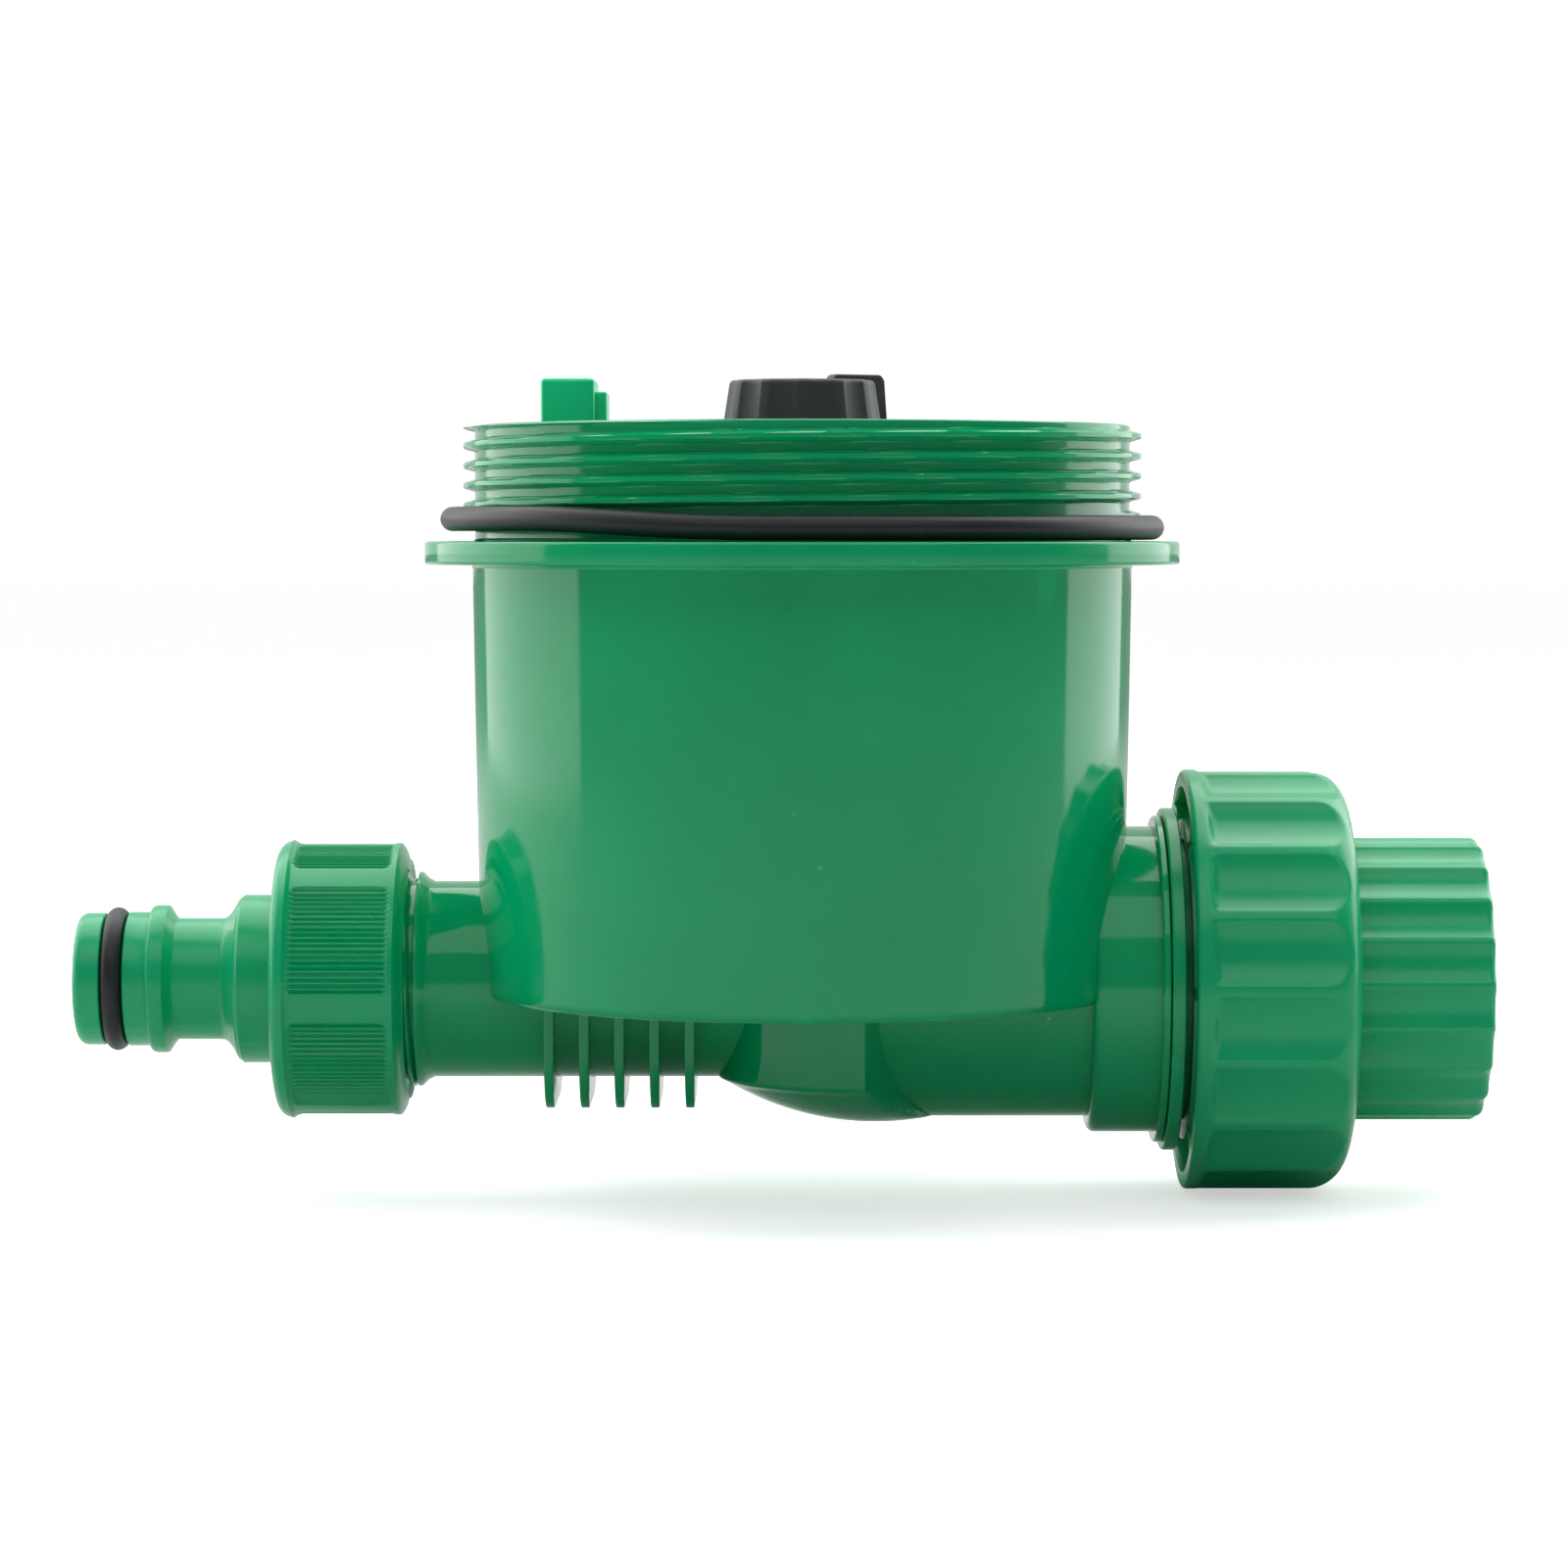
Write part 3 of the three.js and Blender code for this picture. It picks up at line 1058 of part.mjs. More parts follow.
function moduleScrew(place) {
  const upright = panScrew(0, MODULE_SCREW_R, MODULE_SCREW_L, MODULE_SCREW_HEAD_R, MODULE_SCREW_HEAD_H);
  return at(place, upright.rotate([180, 0, 0]), TRAY_FLOOR_Z - SEAT_GAP);
}

// A dry cell lying along X; side 1 puts its raised end at +X.
function dryCell(y, side) {
  const half = CELL_L / 2;
  const cell = turnedX([
    [-half, 0], [-half, CELL_R - 0.5], [-half + 0.5, CELL_R], [half - 0.5, CELL_R],
    [half, CELL_R - 0.5], [half, CELL_NUB_R], [half + CELL_NUB_L, CELL_NUB_R], [half + CELL_NUB_L, 0],
  ], SMALL);
  const turnedCell = side > 0 ? cell : cell.rotate([0, 0, 180]);
  return move(turnedCell, side * cellShift(), y, CELL_Z);
}

function cellShift() {
  return (SPRING_L - CELL_NUB_L) / 2;
}

function cellContact(y, side) {
  const wallX = TRAY_HALF_L - TRAY_WALL - SEAT_GAP;
  const ends = [side * wallX, side * (wallX - CONTACT_T)].sort((a, b) => a - b);
  return box(ends[0], ends[1], y - CONTACT_HALF, y + CONTACT_HALF, CELL_Z - CONTACT_HALF,
    CELL_Z + CONTACT_HALF);
}

function cellSpring(y, side) {
  const base = TRAY_HALF_L - TRAY_WALL - CONTACT_T - 2 * SEAT_GAP - SPRING_WIRE_R - 0.05;
  const steps = 9 * SPRING_COILS;
  const length = SPRING_L - 1.0;
  const points = [];
  for (let i = 0; i <= steps; i += 1) {
    const angle = (2 * Math.PI * SPRING_COILS * i) / steps;
    const r = SPRING_BASE_R - ((SPRING_BASE_R - SPRING_TIP_R) * i) / steps;
    const x = -side * (base - (length * i) / steps);
    points.push([x, y + r * Math.cos(angle), CELL_Z + r * Math.sin(angle)]);
  }
  return wire(points, SPRING_WIRE_R, steps, 3);
}

function controlBoard() {
  return cut(rod(BOARD_R, BOARD_Z, BOARD_TOP_Z, MIDDLE), rod(SHAFT_R - 1, BOARD_Z - 1, BOARD_TOP_Z + 1));
}

function rotarySwitch() {
  const half = SWITCH_W / 2;
  const z = BOARD_TOP_Z + SEAT_GAP;
  const body = box(-half, half, -half, half, z, z + SWITCH_H);
  return cut(body, rod(SHAFT_R + GAP, z + SWITCH_FLOOR_T, z + SWITCH_H + 1));
}

function switchShaft() {
  const z = BOARD_TOP_Z + SEAT_GAP + SWITCH_FLOOR_T + SEAT_GAP;
  const flat = box(SHAFT_R - 1, SHAFT_R + 1, -SHAFT_R, SHAFT_R, PANEL_Z + 2, SHAFT_TOP_Z + 1);
  return cut(rod(SHAFT_R, z, SHAFT_TOP_Z), flat);
}

function buttonSwitch() {
  const z = BOARD_TOP_Z + SEAT_GAP;
  return move(box(-BUTTON_R, BUTTON_R, -BUTTON_R, BUTTON_R, z, z + BUTTON_SWITCH_H), BUTTON_X, BUTTON_Y, 0);
}

function resetButton() {
  const flangeTop = PANEL_Z - PANEL_T - GAP;
  const flangeR = BUTTON_R + 1;
  const topZ = PANEL_Z + BUTTON_RISE;
  return move(turned([
    [0, flangeTop - BUTTON_FLANGE_T], [flangeR, flangeTop - BUTTON_FLANGE_T], [flangeR, flangeTop],
    [BUTTON_R, flangeTop], [BUTTON_R, topZ - 0.4], [BUTTON_R - 0.6, topZ], [0, topZ],
  ], SMALL), BUTTON_X, BUTTON_Y, 0);
}

function statusLight() {
  const z = BOARD_TOP_Z + SEAT_GAP;
  const domeZ = PANEL_Z + LIGHT_RISE;
  return move(turned([
    [0, z], [LIGHT_R, z], [LIGHT_R, domeZ], ...arc(0, domeZ, LIGHT_R, 30, 90, 2),
  ], TINY), LIGHT_X, LIGHT_Y, 0);
}

// ---- mode knob: a fluted, tapered grip with a pointer fin ----
function modeKnob() {
  const taper = KNOB_TOP_R / KNOB_FOOT_R;
  const height = KNOB_TOP_Z - KNOB_FOOT_Z;
  const flutes = flutedOutline(KNOB_FOOT_R, KNOB_FLUTE_DEPTH, KNOB_FLUTES, 0);
  const outline = flutes.map(([x, y]) => new THREE.Vector2(x, y));
  const grip = new THREE.ExtrudeGeometry(new THREE.Shape(outline), { depth: height, bevelEnabled: false });
  const points = grip.attributes.position;
  for (let i = 0; i < points.count; i += 1) {
    const scale = 1 - ((1 - taper) * points.getZ(i)) / height;
    points.setXY(i, points.getX(i) * scale, points.getY(i) * scale);
  }
  const reach = KNOB_FIN_REACH + 0.9;
  const fin = new THREE.Shape([
    [KNOB_FIN_IN, KNOB_FOOT_Z + 1], [reach + 0.9, KNOB_FOOT_Z], [reach + 0.1, KNOB_FIN_TOP_Z - 0.6],
    [reach - 0.3, KNOB_FIN_TOP_Z], [KNOB_FIN_IN + 0.3, KNOB_FIN_TOP_Z], [KNOB_FIN_IN, KNOB_FIN_TOP_Z - 0.5],
  ].map(([x, z]) => new THREE.Vector2(x, z)));
  const plate = new THREE.ExtrudeGeometry(fin, { depth: KNOB_FIN_T, bevelEnabled: false });
  plate.rotateX(Math.PI / 2).translate(0, KNOB_FIN_T / 2, 0);
  const knob = move(solid(grip), 0, 0, KNOB_FOOT_Z).add(solid(plate).rotate([0, 0, KNOB_FIN_DEG]));
  return knob.subtract(rod(SHAFT_R + GAP, KNOB_FOOT_Z - 1, SHAFT_TOP_Z + GAP));
}

// ---- assembly ----
piece('housing', housing(), GREEN);
piece('valve_ball', valveBall(), BRASS);
piece('valve_stem', valveStem(), STEEL);
piece('seat_ring_inlet', seatRing(1), WHITE_PLASTIC);
piece('seat_ring_outlet', seatRing(-1), WHITE_PLASTIC);
STEM_RING_ZS.forEach((z, i) => {
  const ring = cordRing(stemRingR(), STEM_RING_CORD, SMALL, 6);
  piece(`stem_o_ring_${i + 1}`, at(VALVE_AT, ring, z), RUBBER);
});
piece('output_gear', outputGear(), WHITE_PLASTIC);
piece('compound_gear_b', compoundGear(GEAR_B_AT, LAYER_LOW, LAYER_MID, PINION_B_PHASE), WHITE_PLASTIC);
piece('compound_gear_a', compoundGear(GEAR_A_AT, LAYER_MID, LAYER_TOP, PINION_A_PHASE), WHITE_PLASTIC);
piece('motor_pinion', motorPinion(), BRASS);
piece('gear_axle_a', axle(GEAR_A_AT), STEEL);
piece('gear_axle_b', axle(GEAR_B_AT), STEEL);
piece('gearbox_base', gearboxBase(), GREY_PLASTIC);
piece('gearbox_cover', gearboxCover(), GREY_PLASTIC);
SCREW_AT.forEach((place, i) => piece(`gearbox_screw_${i + 1}`, gearboxScrew(place), STEEL));
piece('motor', motor(), STEEL);
piece('motor_lead_1', motorLead(1), RED_WIRE);
piece('motor_lead_2', motorLead(-1), RUBBER);
piece('plug_block', plugBlock(), BLACK);
pinPlaces().forEach((place, i) => piece(`plug_pin_${i + 1}`, plugPin(place), BRASS));
piece('lid_o_ring', lidSealRing(), RUBBER);
piece('inlet_nipple', inletNipple(), GREEN);
piece('nipple_o_ring', ringAboutX(NIPPLE_RING_X, nippleRingR(), NIPPLE_RING_CORD, MIDDLE), RUBBER);
piece('union_nut', unionNut(), GREEN);
piece('union_washer', unionWasher(), RUBBER);
piece('tap_adaptor', tapAdaptor(), GREEN);
piece('filter_washer', filterWasher(), RUBBER);
piece('hose_connector', hoseConnector(), GREEN);
piece('hose_washer', hoseWasher(), RUBBER);
piece('nose_o_ring', ringAboutX(NOSE_RING_X, NOSE_RING_R - NOSE_RING_CORD / 2, NOSE_RING_CORD, 24), RUBBER);
piece('control_panel', controlPanel(), LIGHT_GREEN);
piece('panel_seal', move(cordRing(sealR(), SEAL_CORD, ROUND, 6), 0, 0, SEAL_Z), RUBBER);
piece('panel_label', panelLabel(), LABEL);
piece('battery_tray', batteryTray(), LIGHT_GREEN);
MODULE_SCREW_AT.forEach((place, i) => piece(`module_screw_${i + 1}`, moduleScrew(place), STEEL));
CELL_YS.forEach((y, i) => {
  const side = i === 0 ? 1 : -1;
  piece(`battery_${i + 1}`, dryCell(y, side), CELL);
  piece(`battery_spring_${i + 1}`, cellSpring(y, side), STEEL);
  piece(`spring_contact_${i + 1}`, cellContact(y, -side), STEEL);
  piece(`nub_contact_${i + 1}`, cellContact(y, side), STEEL);
});
piece('control_board', controlBoard(), BOARD);
piece('rotary_switch', rotarySwitch(), GREY_PLASTIC);
piece('switch_shaft', switchShaft(), STEEL);
piece('mode_knob', modeKnob(), BLACK);
piece('button_switch', buttonSwitch(), GREY_PLASTIC);
piece('reset_button', resetButton(), LIGHT_GREEN);
piece('status_light', statusLight(), LENS);
timer.position.x = -ADAPTOR_END_X;

const root = new THREE.Group();
root.add(timer);
export default root;
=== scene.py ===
"""Drip irrigation timer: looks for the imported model, laid out as a Blender add-on.

Each visible piece has its own operator. Sizes are in metres in the property groups and in
millimetres in the mesh code, where x runs along the water pipe from the cup's axis, z is up from
the water pipe's axis and the piece is moved into the row's frame as its mesh is made.
"""
import math

import bmesh
import bpy
import numpy as np
from bpy.props import FloatProperty, FloatVectorProperty, IntProperty, PointerProperty
from mathutils import Matrix, Vector


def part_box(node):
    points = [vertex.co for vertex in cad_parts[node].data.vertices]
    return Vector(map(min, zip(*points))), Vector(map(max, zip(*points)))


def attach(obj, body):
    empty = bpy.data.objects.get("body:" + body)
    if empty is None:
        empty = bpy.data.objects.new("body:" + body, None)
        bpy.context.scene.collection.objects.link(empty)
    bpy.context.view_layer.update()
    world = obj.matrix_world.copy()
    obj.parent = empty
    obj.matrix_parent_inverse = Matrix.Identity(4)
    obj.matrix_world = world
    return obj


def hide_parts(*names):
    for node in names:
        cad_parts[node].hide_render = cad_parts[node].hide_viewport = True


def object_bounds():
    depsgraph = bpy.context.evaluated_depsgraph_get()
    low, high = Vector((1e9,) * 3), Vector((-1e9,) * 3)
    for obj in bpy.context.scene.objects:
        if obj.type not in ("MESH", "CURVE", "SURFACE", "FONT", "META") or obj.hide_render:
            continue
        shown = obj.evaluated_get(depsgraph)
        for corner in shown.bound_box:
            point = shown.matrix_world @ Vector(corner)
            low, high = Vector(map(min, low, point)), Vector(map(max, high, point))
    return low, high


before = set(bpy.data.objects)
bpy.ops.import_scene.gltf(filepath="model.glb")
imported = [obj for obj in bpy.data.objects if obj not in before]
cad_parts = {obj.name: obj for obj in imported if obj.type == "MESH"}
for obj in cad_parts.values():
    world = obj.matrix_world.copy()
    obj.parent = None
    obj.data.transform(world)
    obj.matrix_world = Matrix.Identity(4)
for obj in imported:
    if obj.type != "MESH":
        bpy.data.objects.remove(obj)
CAD_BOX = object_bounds()

bl_info = {
    "name": "Drip irrigation timer",
    "version": (1, 0, 0),
    "blender": (4, 5, 0),
    "location": "View3D > Sidebar > Timer",
    "description": "Builds the pieces, finishes and stage of a tap-mounted drip irrigation timer",
    "category": "Object",
}

MM = 0.001
TAU = 2 * math.pi

# Millimetres: the gap that the CAD keeps between seated faces, how far a piece stays inside its CAD
# box, and the pitches of the G1 union thread and the G3/4 tap and hose threads.
SEAT_GAP = 0.1
INSIDE = 0.02
UNION_PITCH = 2.309
HOSE_PITCH = 1.814


def box_mm(node):
    """Lowest and highest corner of a CAD node in millimetres, in the row's frame."""
    low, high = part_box(node)
    return [v / MM for v in low], [v / MM for v in high]


def middle(node, axis):
    """Middle of a CAD node along one axis, in millimetres."""
    low, high = box_mm(node)
    return (low[axis] + high[axis]) / 2


# The cup's axis crosses the water pipe's axis here, in the row's frame.
AXIS_X = middle("gearbox_base", 0)


def from_axis(node):
    """A CAD node's box in millimetres, with x measured from the cup's axis."""
    low, high = box_mm(node)
    return [low[0] - AXIS_X, *low[1:]], [high[0] - AXIS_X, *high[1:]]


# ---- sizes and colours that a user would change ----
def length(name, description, default_mm):
    """A length property whose default is given in millimetres."""
    return FloatProperty(name=name, description=description, default=default_mm * MM,
                         unit="LENGTH", precision=5, min=0.0)


def colour(name, description, rgb):
    """A linear colour property."""
    return FloatVectorProperty(name=name, description=description, default=rgb,
                               subtype="COLOR", size=3, min=0.0, max=1.0)


class TimerHousingSizes(bpy.types.PropertyGroup):
    """Sizes of the cup, its neck and its pipes."""
    cup_radius: length("Cup radius", "Outside radius of the cup below the flange", 38.8)
    foot_radius: length("Foot radius", "Outside radius of the cup at its bottom", 38.0)
    wall: length("Wall", "Wall thickness of the cup", 2.2)
    edge: length("Foot edge", "Rounding of the cup's bottom edge", 1.1)
    flange_radius: length("Flange radius", "Outside radius of the lid flange", 44.4)
    flange_thickness: length("Flange thickness", "Height of the lid flange", 2.7)
    neck_radius: length("Neck radius", "Radius at the root of the lid thread", 38.5)
    thread_depth: length("Thread depth", "Height of the lid thread's ridge", 1.35)
    thread_pitch: length("Thread pitch", "Rise of the lid thread in one turn", 2.33)
    outlet_radius: length("Outlet pipe radius", "Outside radius of the outlet pipe", 11.6)
    inlet_radius: length("Inlet pipe radius", "Outside radius of the inlet pipe", 16.25)
    chamber_radius: length("Chamber radius", "Radius of the valve chamber under the cup", 18.75)
    dome_radius: length("Dome radius", "Radius of the chamber's domed bottom", 34.2)
    fin_thickness: length("Fin thickness", "Thickness of the fins at their roots", 1.26)


class TimerFittingSizes(bpy.types.PropertyGroup):
    """Sizes of the screw fittings and the seal rings."""
    nut_radius: length("Union nut radius", "Outside radius of the union nut", 24.8)
    nut_flute_depth: length("Nut flute depth", "Depth of the union nut's finger flutes", 1.15)
    nut_flutes: IntProperty(name="Nut flutes", description="Flutes round the union nut",
                            default=18, min=3)
    adaptor_radius: length("Adaptor radius", "Outside radius of the tap adaptor", 16.7)
    adaptor_flute_depth: length("Adaptor flute depth", "Depth of the tap adaptor's flutes", 0.72)
    adaptor_flutes: IntProperty(name="Adaptor flutes", description="Flutes round the adaptor",
                                default=20, min=3)
    skirt_radius: length("Skirt radius", "Radius of the hose connector's ribbed skirt", 16.1)
    rib_depth: length("Rib depth", "Depth of the fine ribs in the skirt's grip panels", 0.36)
    grip_panels: IntProperty(name="Grip panels", description="Ribbed panels round the skirt",
                             default=6, min=2)
    ribs_per_panel: IntProperty(name="Ribs per panel", description="Fine ribs in each panel",
                                default=20, min=4)
    lid_ring_cord: length("Lid ring cord", "Thickness of the slack lid seal ring", 2.85)
    nose_ring_cord: length("Nose ring cord", "Thickness of the hose nose's seal ring", 2.55)


class TimerModuleSizes(bpy.types.PropertyGroup):
    """Sizes of the knob and the control module's face."""
    knob_top: length("Knob top radius", "Radius of the knob at its top", 8.5)
    knob_foot: length("Knob foot radius", "Radius of the knob at the panel", 10.05)
    knob_flutes: IntProperty(name="Knob flutes", description="Flutes round the knob",
                             default=12, min=3)
    dial_marks: IntProperty(name="Dial marks", description="Programme marks round the knob",
                            default=12, min=2, max=24)
    tab_edge: length("Pull tab edge", "Rounding of the pull tab's edges", 0.5)


class TimerColours(bpy.types.PropertyGroup):
    """Linear base colours of the main finishes."""
    body: colour("Body green", "Green of the housing", (0.0012, 0.42, 0.155))
    fitting: colour("Fitting green", "Green of the screw fittings", (0.002, 0.46, 0.178))
    tab: colour("Module green", "Lighter green of the control module", (0.002, 0.84, 0.36))
    knob: colour("Knob black", "Black of the knob", (0.045, 0.048, 0.046))
    rubber: colour("Rubber black", "Black of the seal rings", (0.009, 0.012, 0.013))
    label: colour("Dial black", "Printed ground of the dial", (0.013, 0.015, 0.014))
    floor: colour("Floor", "Pale floor and backdrop", (0.90, 0.90, 0.90))


# ---- mesh building ----
def mesh_object(name, points, faces, sharp_deg=32.0):
    """A mesh object from points in millimetres about the cup's axis, smooth except at sharp edges."""
    mesh = bpy.data.meshes.new(name)
    placed = (np.asarray(points, float) + (AXIS_X, 0, 0)) * MM
    mesh.from_pydata(placed.tolist(), [], faces)
    mesh.validate()
    tidy_faces(mesh)
    obj = bpy.data.objects.new(name, mesh)
    bpy.context.scene.collection.objects.link(obj)
    smooth(obj, sharp_deg)
    return obj


def tidy_faces(mesh):
    """Weld coincident points and turn all faces outwards."""
    work = bmesh.new()
    work.from_mesh(mesh)
    bmesh.ops.remove_doubles(work, verts=work.verts, dist=1e-7)
    bmesh.ops.recalc_face_normals(work, faces=work.faces)
    work.to_mesh(mesh)
    work.free()


def smooth(obj, sharp_deg):
    """Smooth shading, kept crisp where faces meet at more than an angle."""
    mesh = obj.data
    mesh.polygons.foreach_set("use_smooth", [True] * len(mesh.polygons))
    mesh.set_sharp_from_angle(angle=math.radians(sharp_deg))
    mesh.update()


def grid_solid(name, rows, count, about="x", centre=(0, 0, 0), sharp_deg=32.0, phase=0.0):
    """A closed ring-shaped or capped solid made of rows of points round an axis.

    Each row is (position, radius), and either may be a number or a function of the angle array.
    Rows are joined in order; a last row different from the first is closed with two end caps,
    and rows given as a loop (first row repeated last) close on themselves.
    """
    angles = np.arange(count) * TAU / count + phase
    looped = rows[0] is rows[-1]
    used = rows[:-1] if looped else rows
    points = []
    for position, radius in used:
        p = position(angles) if callable(position) else np.full(count, float(position))
        r = radius(angles) if callable(radius) else np.full(count, float(radius))
        if about == "x":
            ring = np.stack([p, r * np.cos(angles), r * np.sin(angles)], 1)
        else:
            ring = np.stack([r * np.cos(angles), r * np.sin(angles), p], 1)
        points.append(ring + centre)
    total = len(used)
    faces = []
    for i in range(total if looped else total - 1):
        j = (i + 1) % total
        for k in range(count):
            n = (k + 1) % count
            faces.append((i * count + k, i * count + n, j * count + n, j * count + k))
    if not looped:
        faces.append(tuple(range(count)))
        faces.append(tuple(reversed(range((total - 1) * count, total * count))))
    return mesh_object(name, np.concatenate(points), faces, sharp_deg)


def loop(rows):
    """Close a list of rows on itself."""
    return [*rows, rows[0]]


def fillet(cx, cy, r, start_deg, end_deg, count=5):
    """Points of a rounded corner about (cx, cy), as (position, radius) pairs."""
    angles = np.radians(np.linspace(start_deg, end_deg, count + 1))
    return [(cx + r * math.cos(a), cy + r * math.sin(a)) for a in angles]


def steps(start, end, count):
    """Evenly spaced numbers from start to end, both included."""
    return list(np.linspace(start, end, count + 1))


def cord_ring(name, centre, ring, cord, about="z", count=192, sides=28, lift=None, flash=0.0):
    """A rubber ring of round cord, with a faint moulding flash round its outside."""
    around = np.arange(count) * TAU / count
    section = np.arange(sides) * TAU / sides
    a, s = np.meshgrid(around, section, indexing="ij")
    bulge = cord / 2 + flash * np.exp(-(np.angle(np.exp(1j * s)) / 0.10) ** 2)
    r = ring + bulge * np.cos(s)
    z = cord / 2 * np.sin(s)
    if lift is not None:
        z = z + lift(a)
    if about == "z":
        points = np.stack([r * np.cos(a), r * np.sin(a), z], 2)
    else:
        points = np.stack([z, r * np.cos(a), r * np.sin(a)], 2)
    points = points.reshape(-1, 3) + centre
    faces = []
    for i in range(count):
        for j in range(sides):
            k, m = (i + 1) % count, (j + 1) % sides
            faces.append((i * sides + j, i * sides + m, k * sides + m, k * sides + j))
    return mesh_object(name, points, faces, 80)


def prism(name, outline, low, high, axis="z", bevel=0.0, segments=3, sharp_deg=32.0):
    """A flat outline pushed from low to high along an axis, with rounded edges."""
    order = {"z": (0, 1, 2), "x": (2, 0, 1), "y": (0, 2, 1)}[axis]
    count = len(outline)
    points = []
    for level in (low, high):
        for u, v in outline:
            flat = (u, v, level)
            points.append(tuple(flat[k] for k in order))
    faces = [tuple(range(count)), tuple(reversed(range(count, 2 * count)))]
    for i in range(count):
        j = (i + 1) % count
        faces.append((i, j, count + j, count + i))
    obj = mesh_object(name, points, faces, sharp_deg)
    if bevel > 0:
        round_edges(obj, bevel, segments, sharp_deg)
    return obj


def block(name, low, high, bevel=0.0, segments=3):
    """A box with rounded edges, from two corners in millimetres about the cup's axis."""
    outline = [(low[0], low[1]), (high[0], low[1]), (high[0], high[1]), (low[0], high[1])]
    return prism(name, outline, low[2], high[2], "z", bevel, segments)


def apply_modifiers(obj):
    """Bake an object's modifiers into its mesh."""
    graph = bpy.context.evaluated_depsgraph_get()
    baked = bpy.data.meshes.new_from_object(obj.evaluated_get(graph))
    old = obj.data
    obj.modifiers.clear()
    obj.data = baked
    bpy.data.meshes.remove(old)


def round_edges(obj, width, segments=3, sharp_deg=32.0):
    """Bevel every edge sharper than an angle."""
    mod = obj.modifiers.new("edges", "BEVEL")
    mod.width = width * MM
    mod.segments = segments
    mod.limit_method = "ANGLE"
    mod.angle_limit = math.radians(sharp_deg)
    apply_modifiers(obj)
    smooth(obj, sharp_deg)


def combine(body, tools, operation, sharp_deg=32.0):
    """Join tools to a body, or cut them from it, and drop the tools."""
    for tool in tools:
        mod = body.modifiers.new("combine", "BOOLEAN")
        mod.operation = operation
        mod.solver = "EXACT"
        mod.object = tool
        apply_modifiers(body)
        old = tool.data
        bpy.data.objects.remove(tool)
        bpy.data.meshes.remove(old)
    smooth(body, sharp_deg)
    return body


def join_to(body, *tools):
    """Add tools to a body as one solid."""
    return combine(body, tools, "UNION")


def cut_from(body, *tools):
    """Cut tools out of a body."""
    return combine(body, tools, "DIFFERENCE")


def turned_object(name, rows, about="x", count=128, centre=(0, 0, 0), sharp_deg=32.0):
    """A solid of revolution whose rows close on themselves."""
    return grid_solid(name, loop(rows), count, about, centre, sharp_deg)


def rod(name, radius, low, high, about="x", centre=(0, 0, 0), count=96):
    """A plain closed cylinder."""
    rows = [(low, radius), (high, radius)]
    return grid_solid(name, rows, count, about, centre)


def settle(obj, body, slot, material, *nodes):
    """Give a finished piece its material and body, and hide the CAD nodes it stands for; the slot argument is
    not used.
    """
    obj.data.materials.clear()
    obj.data.materials.append(material)
    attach(obj, body)
    if nodes:
        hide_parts(*nodes)
    return obj


# ---- shader node groups and materials ----
def add_node(tree, kind, inputs=None, **settings):
    """A shader node with its settings and input values set."""
    made = tree.nodes.new(kind)
    for key, value in settings.items():
        setattr(made, key, value)
    for key, value in (inputs or {}).items():
        made.inputs[key].default_value = value
    return made


def wire_up(tree, *pairs):
    """Link (node, output) to (node, input) pairs."""
    for (source, out), (target, into) in pairs:
        tree.links.new(source.outputs[out], target.inputs[into])


def new_group(name, inputs, outputs):
    """An empty shader group with named sockets, and its two end nodes."""
    tree = bpy.data.node_groups.new(name, "ShaderNodeTree")
    for label, kind, default in inputs:
        socket = tree.interface.new_socket(label, in_out="INPUT", socket_type=kind)
        if default is not None:
            socket.default_value = default
    for label, kind in outputs:
        tree.interface.new_socket(label, in_out="OUTPUT", socket_type=kind)
    return tree, tree.nodes.new("NodeGroupInput"), tree.nodes.new("NodeGroupOutput")


def rgba(rgb, gain=1.0):
    """A linear colour with alpha, brightened by a gain."""
    return (*[min(1.0, c * gain) for c in rgb], 1.0)


